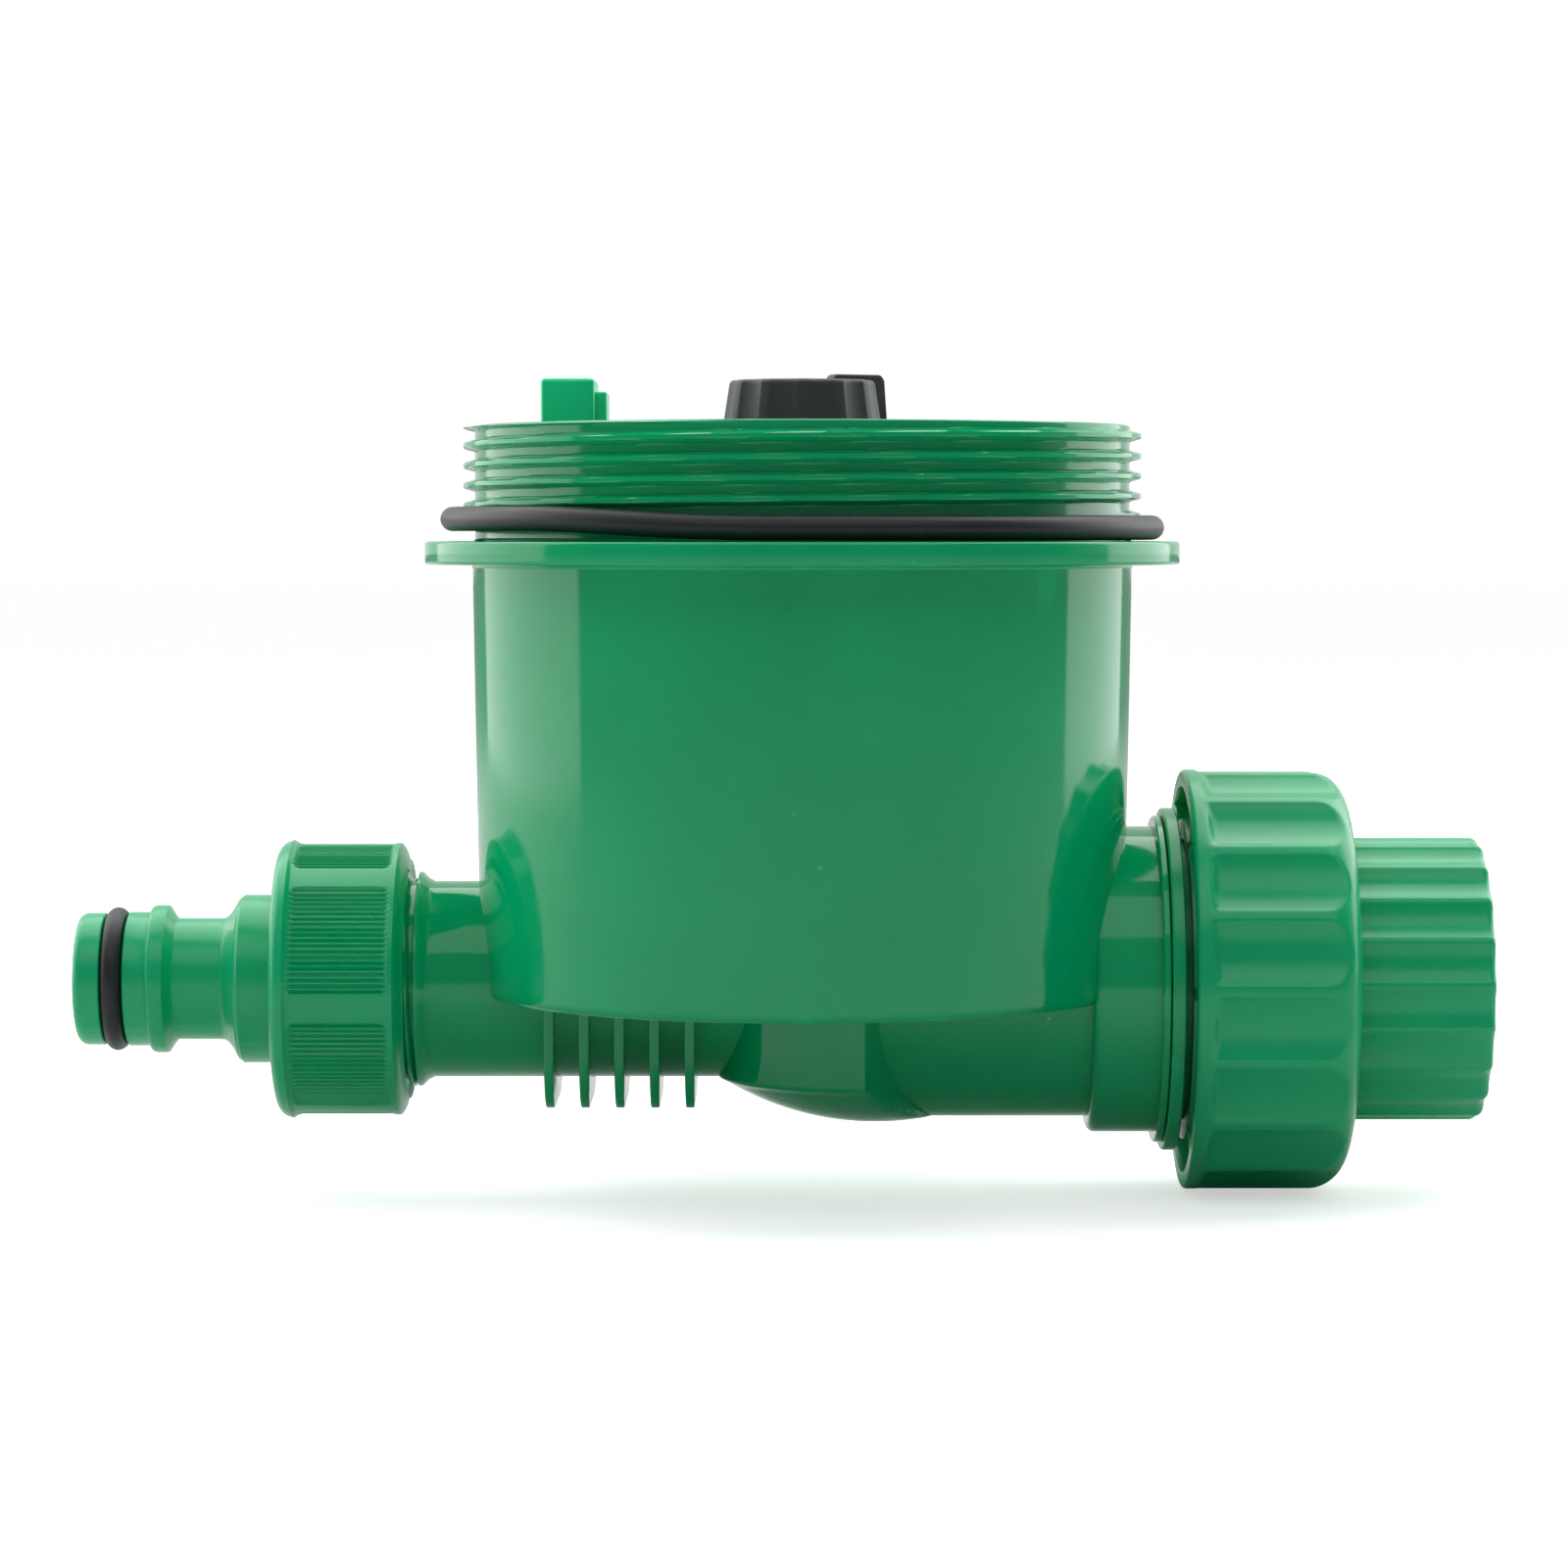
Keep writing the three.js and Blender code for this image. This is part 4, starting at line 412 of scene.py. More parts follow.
def moulding_group():
    """Moulded plastic: cloudy colour, worn edges, lint specks and a slightly wavy skin."""
    tree, start, end = new_group(
        "moulded skin",
        [("Colour", "NodeSocketColor", (0.5, 0.5, 0.5, 1)),
         ("Worn colour", "NodeSocketColor", (0.6, 0.6, 0.6, 1)),
         ("Roughness", "NodeSocketFloat", 0.3), ("Cloud size", "NodeSocketFloat", 45.0),
         ("Grain size", "NodeSocketFloat", 2600.0), ("Specks", "NodeSocketFloat", 0.3)],
        [("Colour", "NodeSocketColor"), ("Roughness", "NodeSocketFloat"),
         ("Height", "NodeSocketFloat")])
    place = add_node(tree, "ShaderNodeTexCoord")
    cloud = add_node(tree, "ShaderNodeTexNoise", {"Detail": 3.0, "Roughness": 0.55})
    grain = add_node(tree, "ShaderNodeTexNoise", {"Detail": 2.0, "Roughness": 0.6})
    streak_map = add_node(tree, "ShaderNodeMapping", {"Scale": (900.0, 900.0, 60.0)})
    streak = add_node(tree, "ShaderNodeTexNoise", {"Scale": 1.0, "Detail": 3.0, "Roughness": 0.65})
    speck = add_node(tree, "ShaderNodeTexVoronoi", {"Scale": 260.0, "Randomness": 1.0})
    speck_mask = add_node(tree, "ShaderNodeMapRange",
                          {"From Min": 0.035, "From Max": 0.065, "To Min": 1.0, "To Max": 0.0})
    rare = add_node(tree, "ShaderNodeTexNoise", {"Scale": 90.0, "Detail": 1.0})
    rare_mask = add_node(tree, "ShaderNodeMapRange",
                         {"From Min": 0.60, "From Max": 0.66, "To Min": 0.0, "To Max": 1.0})
    speck_all = add_node(tree, "ShaderNodeMath", operation="MULTIPLY")
    speck_share = add_node(tree, "ShaderNodeMath", operation="MULTIPLY")
    shape = add_node(tree, "ShaderNodeNewGeometry")
    worn = add_node(tree, "ShaderNodeMapRange",
                    {"From Min": 0.53, "From Max": 0.62, "To Min": 0.0, "To Max": 0.45})
    tone = add_node(tree, "ShaderNodeMapRange",
                    {"From Min": 0.3, "From Max": 0.7, "To Min": 0.93, "To Max": 1.07})
    toned = add_node(tree, "ShaderNodeVectorMath", operation="SCALE")
    edged = add_node(tree, "ShaderNodeMix", data_type="RGBA")
    dusty = add_node(tree, "ShaderNodeMix", {"B": (0.55, 0.56, 0.53, 1)}, data_type="RGBA")
    rough_shift = add_node(tree, "ShaderNodeMapRange",
                           {"From Min": 0.3, "From Max": 0.7, "To Min": -0.035, "To Max": 0.05})
    rough = add_node(tree, "ShaderNodeMath", operation="ADD")
    rough_dust = add_node(tree, "ShaderNodeMath", operation="MULTIPLY_ADD")
    rough_dust.inputs[1].default_value = 0.35
    fine = add_node(tree, "ShaderNodeMath", operation="MULTIPLY_ADD")
    fine.inputs[1].default_value = 0.35
    height = add_node(tree, "ShaderNodeMath", operation="MULTIPLY_ADD")
    height.inputs[1].default_value = 0.6
    wire_up(
        tree,
        ((place, "Object"), (cloud, "Vector")), ((place, "Object"), (grain, "Vector")),
        ((place, "Object"), (streak_map, "Vector")), ((streak_map, "Vector"), (streak, "Vector")),
        ((place, "Object"), (speck, "Vector")), ((place, "Object"), (rare, "Vector")),
        ((start, "Cloud size"), (cloud, "Scale")), ((start, "Grain size"), (grain, "Scale")),
        ((speck, "Distance"), (speck_mask, "Value")), ((rare, "Fac"), (rare_mask, "Value")),
        ((speck_mask, "Result"), (speck_all, 0)), ((rare_mask, "Result"), (speck_all, 1)),
        ((speck_all, "Value"), (speck_share, 0)), ((start, "Specks"), (speck_share, 1)),
        ((cloud, "Fac"), (tone, "Value")), ((start, "Colour"), (toned, 0)),
        ((tone, "Result"), (toned, "Scale")), ((shape, "Pointiness"), (worn, "Value")),
        ((worn, "Result"), (edged, "Factor")), ((toned, "Vector"), (edged, "A")),
        ((start, "Worn colour"), (edged, "B")), ((speck_share, "Value"), (dusty, "Factor")),
        ((edged, "Result"), (dusty, "A")), ((dusty, "Result"), (end, "Colour")),
        ((cloud, "Fac"), (rough_shift, "Value")), ((start, "Roughness"), (rough, 0)),
        ((rough_shift, "Result"), (rough, 1)), ((speck_share, "Value"), (rough_dust, 0)),
        ((rough, "Value"), (rough_dust, 2)), ((rough_dust, "Value"), (end, "Roughness")),
        ((streak, "Fac"), (fine, 0)), ((grain, "Fac"), (fine, 2)),
        ((speck_share, "Value"), (height, 0)), ((fine, "Value"), (height, 2)),
        ((height, "Value"), (end, "Height")),
    )
    return tree


def brushed_group():
    """Plated or turned metal: fine lines, small tarnish clouds and uneven polish."""
    tree, start, end = new_group(
        "worked metal",
        [("Colour", "NodeSocketColor", (0.7, 0.7, 0.7, 1)),
         ("Tarnish", "NodeSocketColor", (0.4, 0.38, 0.35, 1)), ("Roughness", "NodeSocketFloat", 0.3)],
        [("Colour", "NodeSocketColor"), ("Roughness", "NodeSocketFloat"),
         ("Height", "NodeSocketFloat")])
    place = add_node(tree, "ShaderNodeTexCoord")
    lines_map = add_node(tree, "ShaderNodeMapping", {"Scale": (300.0, 300.0, 6000.0)})
    lines = add_node(tree, "ShaderNodeTexNoise", {"Scale": 1.0, "Detail": 2.0})
    cloud = add_node(tree, "ShaderNodeTexNoise", {"Scale": 220.0, "Detail": 4.0})
    dull = add_node(tree, "ShaderNodeMapRange",
                    {"From Min": 0.5, "From Max": 0.75, "To Min": 0.0, "To Max": 0.55})
    mixed = add_node(tree, "ShaderNodeMix", data_type="RGBA")
    shift = add_node(tree, "ShaderNodeMath", operation="MULTIPLY_ADD")
    shift.inputs[1].default_value = 0.22
    wire_up(
        tree,
        ((place, "Object"), (lines_map, "Vector")), ((lines_map, "Vector"), (lines, "Vector")),
        ((place, "Object"), (cloud, "Vector")), ((cloud, "Fac"), (dull, "Value")),
        ((dull, "Result"), (mixed, "Factor")), ((start, "Colour"), (mixed, "A")),
        ((start, "Tarnish"), (mixed, "B")), ((mixed, "Result"), (end, "Colour")),
        ((dull, "Result"), (shift, 0)), ((start, "Roughness"), (shift, 2)),
        ((shift, "Value"), (end, "Roughness")), ((lines, "Fac"), (end, "Height")),
    )
    return tree


def shared_group(name, maker):
    """A shader group by name, built the first time it is asked for."""
    found = bpy.data.node_groups.get(name)
    return found if found else maker()


def skin_material(name, tree, values, bump, distance, **shader):
    """A material whose colour, roughness and bump come from one of the shared groups."""
    material = bpy.data.materials.new(name)
    material.use_nodes = True
    nodes = material.node_tree
    principled = nodes.nodes["Principled BSDF"]
    for key, value in shader.items():
        principled.inputs[key.replace("_", " ")].default_value = value
    effect = add_node(nodes, "ShaderNodeGroup", node_tree=tree)
    for key, value in values.items():
        effect.inputs[key].default_value = value
    relief = add_node(nodes, "ShaderNodeBump", {"Strength": bump, "Distance": distance})
    wire_up(
        nodes,
        ((effect, "Colour"), (principled, "Base Color")),
        ((effect, "Roughness"), (principled, "Roughness")),
        ((effect, "Height"), (relief, "Height")), ((relief, "Normal"), (principled, "Normal")),
    )
    return material


def plastic(name, rgb, roughness, grain=2600.0, bump=0.05, specks=0.3, worn_gain=1.35, **shader):
    """Moulded plastic of one colour."""
    found = bpy.data.materials.get(name)
    if found:
        return found
    tree = shared_group("moulded skin", moulding_group)
    values = {"Colour": rgba(rgb), "Worn colour": rgba(rgb, worn_gain), "Roughness": roughness,
              "Grain size": grain, "Specks": specks}
    return skin_material(name, tree, values, bump, 0.0002, **shader)


def metal(name, rgb, roughness, tarnish):
    """Plated, turned or drawn metal."""
    found = bpy.data.materials.get(name)
    if found:
        return found
    tree = shared_group("worked metal", brushed_group)
    values = {"Colour": rgba(rgb), "Tarnish": rgba(tarnish), "Roughness": roughness}
    return skin_material(name, tree, values, 0.12, 0.0001, Metallic=1.0)


def colours():
    """The colour properties."""
    return bpy.context.scene.timer_colours


def body_green():
    return plastic("glossy green housing", colours().body, 0.075, bump=0.02, specks=0.35)


def fitting_green():
    return plastic("glossy green fittings", colours().fitting, 0.24, bump=0.04, specks=0.25)


def module_green():
    return plastic("light green module", colours().tab, 0.24, specks=0.2)


def knob_black():
    return plastic("textured black knob", colours().knob, 0.46, grain=4200.0, bump=0.35, specks=0.25,
                   worn_gain=2.2)


def seal_black():
    return plastic("satin black rubber", colours().rubber, 0.42, grain=3200.0, bump=0.16,
                   specks=0.5, worn_gain=1.6)


def dial_black():
    return plastic("printed black dial", colours().label, 0.38, grain=3600.0, bump=0.08)


def dial_white():
    return plastic("printed white marks", (0.78, 0.80, 0.77), 0.45, specks=0.1)


def seat_white():
    return plastic("waxy white seats", (0.80, 0.80, 0.76), 0.36, specks=0.1)


def gear_white():
    return plastic("natural white gears", (0.74, 0.71, 0.63), 0.40, specks=0.2)


def works_grey():
    return plastic("grey gearbox plastic", (0.20, 0.215, 0.22), 0.48, grain=3000.0, bump=0.18)


def wire_red():
    return plastic("red wire jacket", (0.36, 0.012, 0.008), 0.40)


def wire_black():
    return plastic("black wire jacket", (0.014, 0.014, 0.015), 0.40)


def cell_blue():
    return plastic("printed cell jacket", (0.016, 0.055, 0.19), 0.28, bump=0.04, Metallic=0.25)


def board_green():
    return plastic("solder-masked board", (0.006, 0.070, 0.032), 0.33, grain=1500.0, bump=0.12)


def lens_red():
    return plastic("red lens", (0.55, 0.012, 0.008), 0.12, bump=0.02, specks=0.05, Coat_Weight=0.6)


def plated_steel():
    return metal("bright plated steel", (0.62, 0.62, 0.60), 0.27, (0.33, 0.31, 0.28))


def turned_brass():
    return metal("turned brass", (0.69, 0.47, 0.17), 0.25, (0.33, 0.20, 0.08))


# ---- shapes that several pieces share ----
def mm(value):
    """A length property's value in millimetres."""
    return value / MM


def housing_sizes():
    return bpy.context.scene.timer_housing


def fitting_sizes():
    return bpy.context.scene.timer_fittings


def module_sizes():
    return bpy.context.scene.timer_module


def ease(t):
    """Smooth step from 0 to 1 for arrays or numbers."""
    t = np.clip(t, 0.0, 1.0)
    return t * t * (3 - 2 * t)


def flute(angles, count, depth, ridge_at, ridge_half=0.09):
    """Depth of concave flutes at each angle, with narrow rounded ridges between them."""
    place = (angles - ridge_at) * count / TAU
    away = np.abs(place - np.round(place)) * 2
    t = np.clip((away - ridge_half) / (1 - ridge_half), 0, 1)
    return depth * (1 - (1 - t) ** 2) * ease(t * 6 + 0.1)


def screw_relief(angles, along, pitch, depth, root_half=0.16, crest_half=0.10):
    """Height of a screw thread above its root at each angle and place along the axis."""
    turn = along / pitch - angles / TAU
    away = np.abs(turn - np.round(turn))
    return depth * ease((0.5 - root_half - away) / (0.5 - root_half - crest_half))


def low_high(node, axis):
    """Where a CAD node starts and ends along one axis, x from the cup's axis."""
    low, high = from_axis(node)
    return low[axis], high[axis]


def half_width(node, axis):
    """Half a CAD node's size along one axis: the radius of a round piece."""
    low, high = low_high(node, axis)
    return (high - low) / 2


def spot(node):
    """Middle of a CAD node seen from above, measured from the cup's axis."""
    return middle(node, 0) - AXIS_X, middle(node, 1)


def thread_rows(places, root, pitch, depth, inward=False):
    """Rows of a screw thread that stands on its root radius, outwards or into a bore."""
    way = -1 if inward else 1
    return [(x, lambda a, x=x: root + way * screw_relief(a, x, pitch, depth)) for x in places]


def seal_ring(name, node, body, cord, inset, about, count, sides, flash=0.0):
    """A seated rubber ring, as wide as its CAD ring less an inset, in the middle of it."""
    along, across = (0, 2) if about == "x" else (2, 1)
    centre = [0, 0, 0]
    centre[along] = sum(low_high(node, along)) / 2
    ring = cord_ring(name, centre, half_width(node, across) - inset, cord, about, count, sides,
                     flash=flash)
    return settle(ring, body, "black_rubber", seal_black(), node)


# ---- housing ----
RIM_Z = low_high("housing", 2)[1]
FLANGE_TOP_Z = low_high("lid_o_ring", 2)[0] - SEAT_GAP
OUTLET_END = low_high("hose_washer", 0)[1] + SEAT_GAP
SPIGOT_LENGTH = 22.7
INLET_END = low_high("inlet_nipple", 0)[0] + SPIGOT_LENGTH
FOOT_Z = -1.6
CHAMBER_X = 8.6
CHAMBER_TOP_Z = 17.5
VALVE_X = middle("valve_ball", 0) - AXIS_X
SPIGOT_BORE = 13.0
WATER_BORE = 9.0
THREAD_LEAD = -22.5
THREAD_LIFT = 2.85
FIN_PLACES = [-29.45 + 4.09 * i for i in range(5)]


def lid_thread_radius(z):
    """Radius of the neck at a height, as a function of angle, with the lid thread's single ridge."""
    size = housing_sizes()
    root, depth, pitch = mm(size.neck_radius), mm(size.thread_depth), mm(size.thread_pitch)
    start = FLANGE_TOP_Z + THREAD_LIFT

    def radius(angles):
        lap = ((angles - math.radians(THREAD_LEAD)) % TAU) / TAU
        turn = (z - start) / pitch - lap
        nearest = np.maximum(np.round(turn), 0)
        away = np.abs(turn - nearest) * pitch
        run_in = ease((nearest + lap) / 0.06)
        rim_fade = ease((RIM_Z - z) / 0.35 + 0.45)
        return root + depth * ease((0.74 - away) / 0.50) * run_in * rim_fade
    return radius


def cup_rows():
    """The cup's outside, flange, threaded neck and inside, from the middle of its foot round."""
    size = housing_sizes()
    foot, side, edge = mm(size.foot_radius), mm(size.cup_radius), mm(size.edge)
    flange, thick = mm(size.flange_radius), mm(size.flange_thickness)
    neck, wall = mm(size.neck_radius), mm(size.wall)
    under = FLANGE_TOP_Z - thick
    soft = 0.4
    rows = [(FOOT_Z, foot * 0.5), *fillet(FOOT_Z + edge, foot - edge, edge, 180, 90)]
    heights = steps(FOOT_Z + edge + 1, under - soft, 14)
    rows += [(z, foot + (side - foot) * (z - FOOT_Z) / (under - FOOT_Z)) for z in heights]
    rows += fillet(under - soft, side + soft, soft, 270, 360, 3)
    rows += fillet(under + soft, flange - soft, soft, 180, 90, 4)
    rows += fillet(FLANGE_TOP_Z - soft, flange - soft, soft, 90, 0, 4)
    rows += fillet(FLANGE_TOP_Z + soft, neck + soft, soft, 180, 270, 3)
    rows += [(z, lid_thread_radius(z)) for z in np.arange(FLANGE_TOP_Z + 1.4, RIM_Z - 0.2, 0.12)]
    rows += [(RIM_Z - 0.12, neck - 0.03), (RIM_Z, neck - 0.2), (RIM_Z, neck - wall + 0.3)]
    rows += [(RIM_Z - 0.3, neck - wall), (under, neck - wall)]
    floor = FOOT_Z + wall
    rows += [(floor + 1.0, foot - wall), (floor, foot - wall - 1.0), (floor, foot * 0.5)]
    return rows


def valve_chamber():
    """The domed valve chamber under the cup, with its bowed front towards the inlet."""
    size = housing_sizes()
    radius, dome = mm(size.chamber_radius), mm(size.dome_radius)
    lowest = -16.8
    edge = 0.7
    reach = math.asin((radius - edge) / dome)
    rows = []
    for a in steps(0.06, reach, 14):
        rows.append((lowest + dome * (1 - math.cos(a)), dome * math.sin(a)))
    edge_z = rows[-1][0]
    rows += fillet(edge_z + edge, radius - edge, edge, 160, 90, 4)
    rows += [(CHAMBER_TOP_Z, radius)]
    bowed = [(z, bow_radius(r)) for z, r in rows]
    return grid_solid("valve chamber", bowed, 160, "z", (CHAMBER_X, 0, 0), 40)


def bow_radius(radius):
    """A round row of the chamber, drawn in to a soft bow towards the inlet."""
    reach, slope, soft = 8.85, 0.55, 1.1

    def at_angle(angles):
        wedge = np.cos(angles) + slope * np.sqrt(np.sin(angles) ** 2 + 0.004)
        bow = np.where(wedge > 0.05, reach / np.maximum(wedge, 0.05), 10 * radius)
        share = np.clip(0.5 + (bow - radius) / (2 * soft), 0, 1)
        return bow * (1 - share) + radius * share - soft * share * (1 - share)
    return at_angle


def under_fin(x):
    """One thin fin hung under the outlet pipe, thinner towards its foot."""
    half, foot, corner, top = 12.95, -14.55, 6.0, FOOT_Z + 0.5
    thick = mm(housing_sizes().fin_thickness)
    outline = [(half, top), (-half, top)]
    for cy, start in ((corner - half, 180), (half - corner, 270)):
        for a in np.radians(np.linspace(start, start + 90, 9)):
            outline.append((cy + corner * math.cos(a), foot + corner + corner * math.sin(a)))
    fin = prism("fin", outline, x - thick / 2, x + thick / 2, "x", 0.22, 3)
    for vertex in fin.data.vertices:
        low = max(0.0, FOOT_Z - vertex.co.z / MM) / (FOOT_Z - foot)
        middle_x = (x + AXIS_X) * MM
        vertex.co.x = middle_x + (vertex.co.x - middle_x) * (1 - 0.16 * low)
    return fin


def outlet_pipe():
    """The outlet pipe with the threaded end that carries the hose connector."""
    radius, crest = mm(housing_sizes().outlet_radius), 12.75
    depth, shoulder = 0.85, -45.3
    end = OUTLET_END
    rows = [(end, WATER_BORE), (end, crest - depth - 0.6)]
    rows += thread_rows(np.arange(end + 0.5, shoulder, 0.15), crest - depth, HOSE_PITCH, depth)
    rows += [(shoulder + 0.1, crest), (shoulder + 0.5, crest - 0.1)]
    rows += [(shoulder + 1.2, radius + 0.35), (shoulder + 1.9, radius)]
    rows += [(CHAMBER_X - 6, radius), (CHAMBER_X - 6, WATER_BORE)]
    return grid_solid("outlet pipe", rows, 96)


def inlet_pipe():
    """The stepped inlet pipe, from the valve chamber to the collar behind the union."""
    radius = mm(housing_sizes().inlet_radius)
    step_x, step_r, collar_x, collar_r = 33.5, 18.1, 41.4, 19.35
    end = INLET_END
    rows = [(CHAMBER_X, WATER_BORE), (CHAMBER_X, radius), (step_x, radius)]
    rows += fillet(step_x + 1.0, step_r - 1.0, 1.0, 180, 90, 5)
    rows += [(collar_x, step_r), (collar_x, collar_r - 0.2), (collar_x + 0.2, collar_r)]
    rows += [(end - 0.15, collar_r), (end, collar_r - 0.15), (end, WATER_BORE)]
    return grid_solid("inlet pipe", rows, 128)


class TIMER_OT_housing(bpy.types.Operator):
    """Build the one-piece housing: cup, lid thread, valve chamber, pipes and fins."""
    bl_idname = "timer.housing"
    bl_label = "Housing"

    def execute(self, context):
        body = grid_solid("housing_shell", cup_rows(), 256, "z")
        fittings = valve_chamber()
        join_to(fittings, outlet_pipe(), inlet_pipe())
        for x in FIN_PLACES:
            join_to(fittings, under_fin(x))
        join_to(body, fittings)
        boss_top = low_high("gearbox_base", 2)[0] + 1.0
        boss = rod("stem boss", 6.15, CHAMBER_TOP_Z - 0.5, boss_top, "z", (VALVE_X, 0, 0), 64)
        join_to(body, boss)
        cut_from(
            body,
            rod("outlet bore", WATER_BORE, OUTLET_END - 1, VALVE_X, count=64),
            rod("spigot bore", SPIGOT_BORE, VALVE_X - 10.6, INLET_END + 1, count=72),
            rod("stem bore", 3.3, 0, boss_top + 1, "z", (VALVE_X, 0, 0), 40),
        )
        settle(body, "housing", "green", body_green(), "housing")
        return {"FINISHED"}


class TIMER_OT_lid_ring(bpy.types.Operator):
    """Build the slack seal ring that lies on the flange round the neck."""
    bl_idname = "timer.lid_ring"
    bl_label = "Lid seal ring"

    def execute(self, context):
        cord = mm(fitting_sizes().lid_ring_cord)
        low, high = from_axis("lid_o_ring")
        ring = (high[1] - low[1]) / 2 - 1.47
        slack = high[2] - low[2] - 2.9

        def lift(turn):
            away = np.abs(np.degrees(turn) - 180)
            return slack * ease((82 - away) / 42) + 0.03 * np.sin(3 * turn + 1.2)

        seal = cord_ring("lid_seal_ring", (0, 0, low[2] + 1.47), ring, cord, "z", 256, 32, lift, 0.03)
        settle(seal, "housing", "black_rubber", seal_black(), "lid_o_ring")
        return {"FINISHED"}


# ---- inlet union ----
class TIMER_OT_inlet_nipple(bpy.types.Operator):
    """Build the nipple that snaps into the union nut, and its seal ring."""
    bl_idname = "timer.inlet_nipple"
    bl_label = "Inlet nipple"

    def execute(self, context):
        (start, end), (_, disc) = low_high("inlet_nipple", 0), low_high("inlet_nipple", 2)
        ring_x = middle("nipple_o_ring", 0) - AXIS_X
        spigot, neck, snap, half = 12.65, 16.25, 17.75, 0.9
        face = INLET_END + SEAT_GAP
        rows = [(start, WATER_BORE + 0.3), (start, spigot - 0.3), (start + 0.3, spigot)]
        rows += [(ring_x - half, spigot), (ring_x - half, spigot - 1.5)]
        rows += [(ring_x + half, spigot - 1.5), (ring_x + half, spigot), (face, spigot)]
        rows += [(face, disc - 0.2), (face + 0.2, disc - 0.05), (face + 1.4, disc - 0.05)]
        rows += [(face + 1.6, disc - 0.3), (face + 1.6, neck), (end - 2, neck)]
        rows += [(end - 2, snap - 0.15), (end - 1.85, snap), (end - 0.9, snap), (end, neck - 0.1)]
        rows += [(end, WATER_BORE + 0.3), (end - 0.3, WATER_BORE), (start + 0.3, WATER_BORE)]
        nipple = turned_object("inlet_nipple_body", rows)
        settle(nipple, "housing", "green", fitting_green(), "inlet_nipple")
        seal_ring("nipple_seal_ring", "nipple_o_ring", "housing", 1.55, 0.8, "x", 128, 16)
        return {"FINISHED"}


def nut_radius(x, start, end, rim):
    """Radius of the union nut at a place along it: rim band, flutes, then a rounded end."""
    size = fitting_sizes()
    outer, depth, count = mm(size.nut_radius), mm(size.nut_flute_depth), size.nut_flutes
    bend = 4.5
    over = max(0.0, x - (end - bend))
    round_end = outer - bend + math.sqrt(max(0.0, bend * bend - over * over))
    flute_share = ease((x - start - rim) / 1.3)

    def radius(angles):
        dip = flute(angles, count, depth, math.pi - math.radians(2)) * flute_share
        return np.minimum(outer - dip, round_end)
    return radius


def pocket_floor(x, depth):
    """Place of the nut's ring-shaped pocket floor at each angle, interrupted by its ribs."""
    ribs, half = 6, math.radians(1.9)

    def position(angles):
        away = np.abs((angles * ribs / TAU) - np.round(angles * ribs / TAU)) * TAU / ribs
        return x + depth * ease((away - half) / math.radians(0.7))
    return position


class TIMER_OT_union_nut(bpy.types.Operator):
    """Build the fluted union nut with its ribbed pocket and inside thread."""
    bl_idname = "timer.union_nut"
    bl_label = "Union nut"

    def execute(self, context):
        (start, end), outer = low_high("union_nut", 0), mm(fitting_sizes().nut_radius)
        rim, web_end, snap_end = 1.5, start + 3.7, start + 6.4
        bore, snap_bore, thread_bore = 16.65, 18.1, 17.05
        pocket_in, pocket_out, depth = 19.2, 22.6, 2.0
        rows = [(start + 0.3, bore), (start, bore + 0.3), (start, pocket_in - 0.25)]
        rows += [(pocket_floor(start + 0.15, depth), pocket_in + 0.05)]
        rows += [(pocket_floor(start + 0.2, depth), pocket_in + 0.3)]
        rows += [(pocket_floor(start + 0.2, depth), pocket_out - 0.3)]
        rows += [(pocket_floor(start + 0.15, depth), pocket_out - 0.05), (start, pocket_out + 0.25)]
        rows += fillet(start + 0.45, outer - 0.45, 0.45, 180, 90, 4)
        rows += [(x, nut_radius(x, start, end, rim)) for x in steps(start + rim - 0.2, end - 4.5, 44)]
        rows += [(x, nut_radius(x, start, end, rim)) for x in
                 [end - 4.5 + 4.5 * math.sin(a) for a in steps(0.08, 1.38, 13)]]
        rows += [(end, outer - 4.3), (end, thread_bore + 0.9)]
        relief = 0.9
        turns = np.arange(end - 0.8, snap_end + 0.3, -0.19)
        rows += thread_rows(turns, thread_bore + relief, UNION_PITCH, relief, inward=True)
        rows += [(snap_end, thread_bore), (snap_end, snap_bore), (web_end, snap_bore)]
        rows += [(web_end, bore)]
        nut = grid_solid("union_nut_body", loop(rows), 720, "x", sharp_deg=38)
        settle(nut, "union_nut", "green", fitting_green(), "union_nut")
        return {"FINISHED"}


def adaptor_radius(x, end):
    """Radius of the tap adaptor's fluted grip at a place along it."""
    size = fitting_sizes()
    outer, depth, count = mm(size.adaptor_radius), mm(size.adaptor_flute_depth), size.adaptor_flutes
    bend = 1.1
    over = max(0.0, x - (end - bend))
    drop = bend - math.sqrt(max(0.0, bend * bend - over * over))

    def radius(angles):
        return outer - flute(angles, count, depth, math.pi - math.radians(2.5)) - drop
    return radius


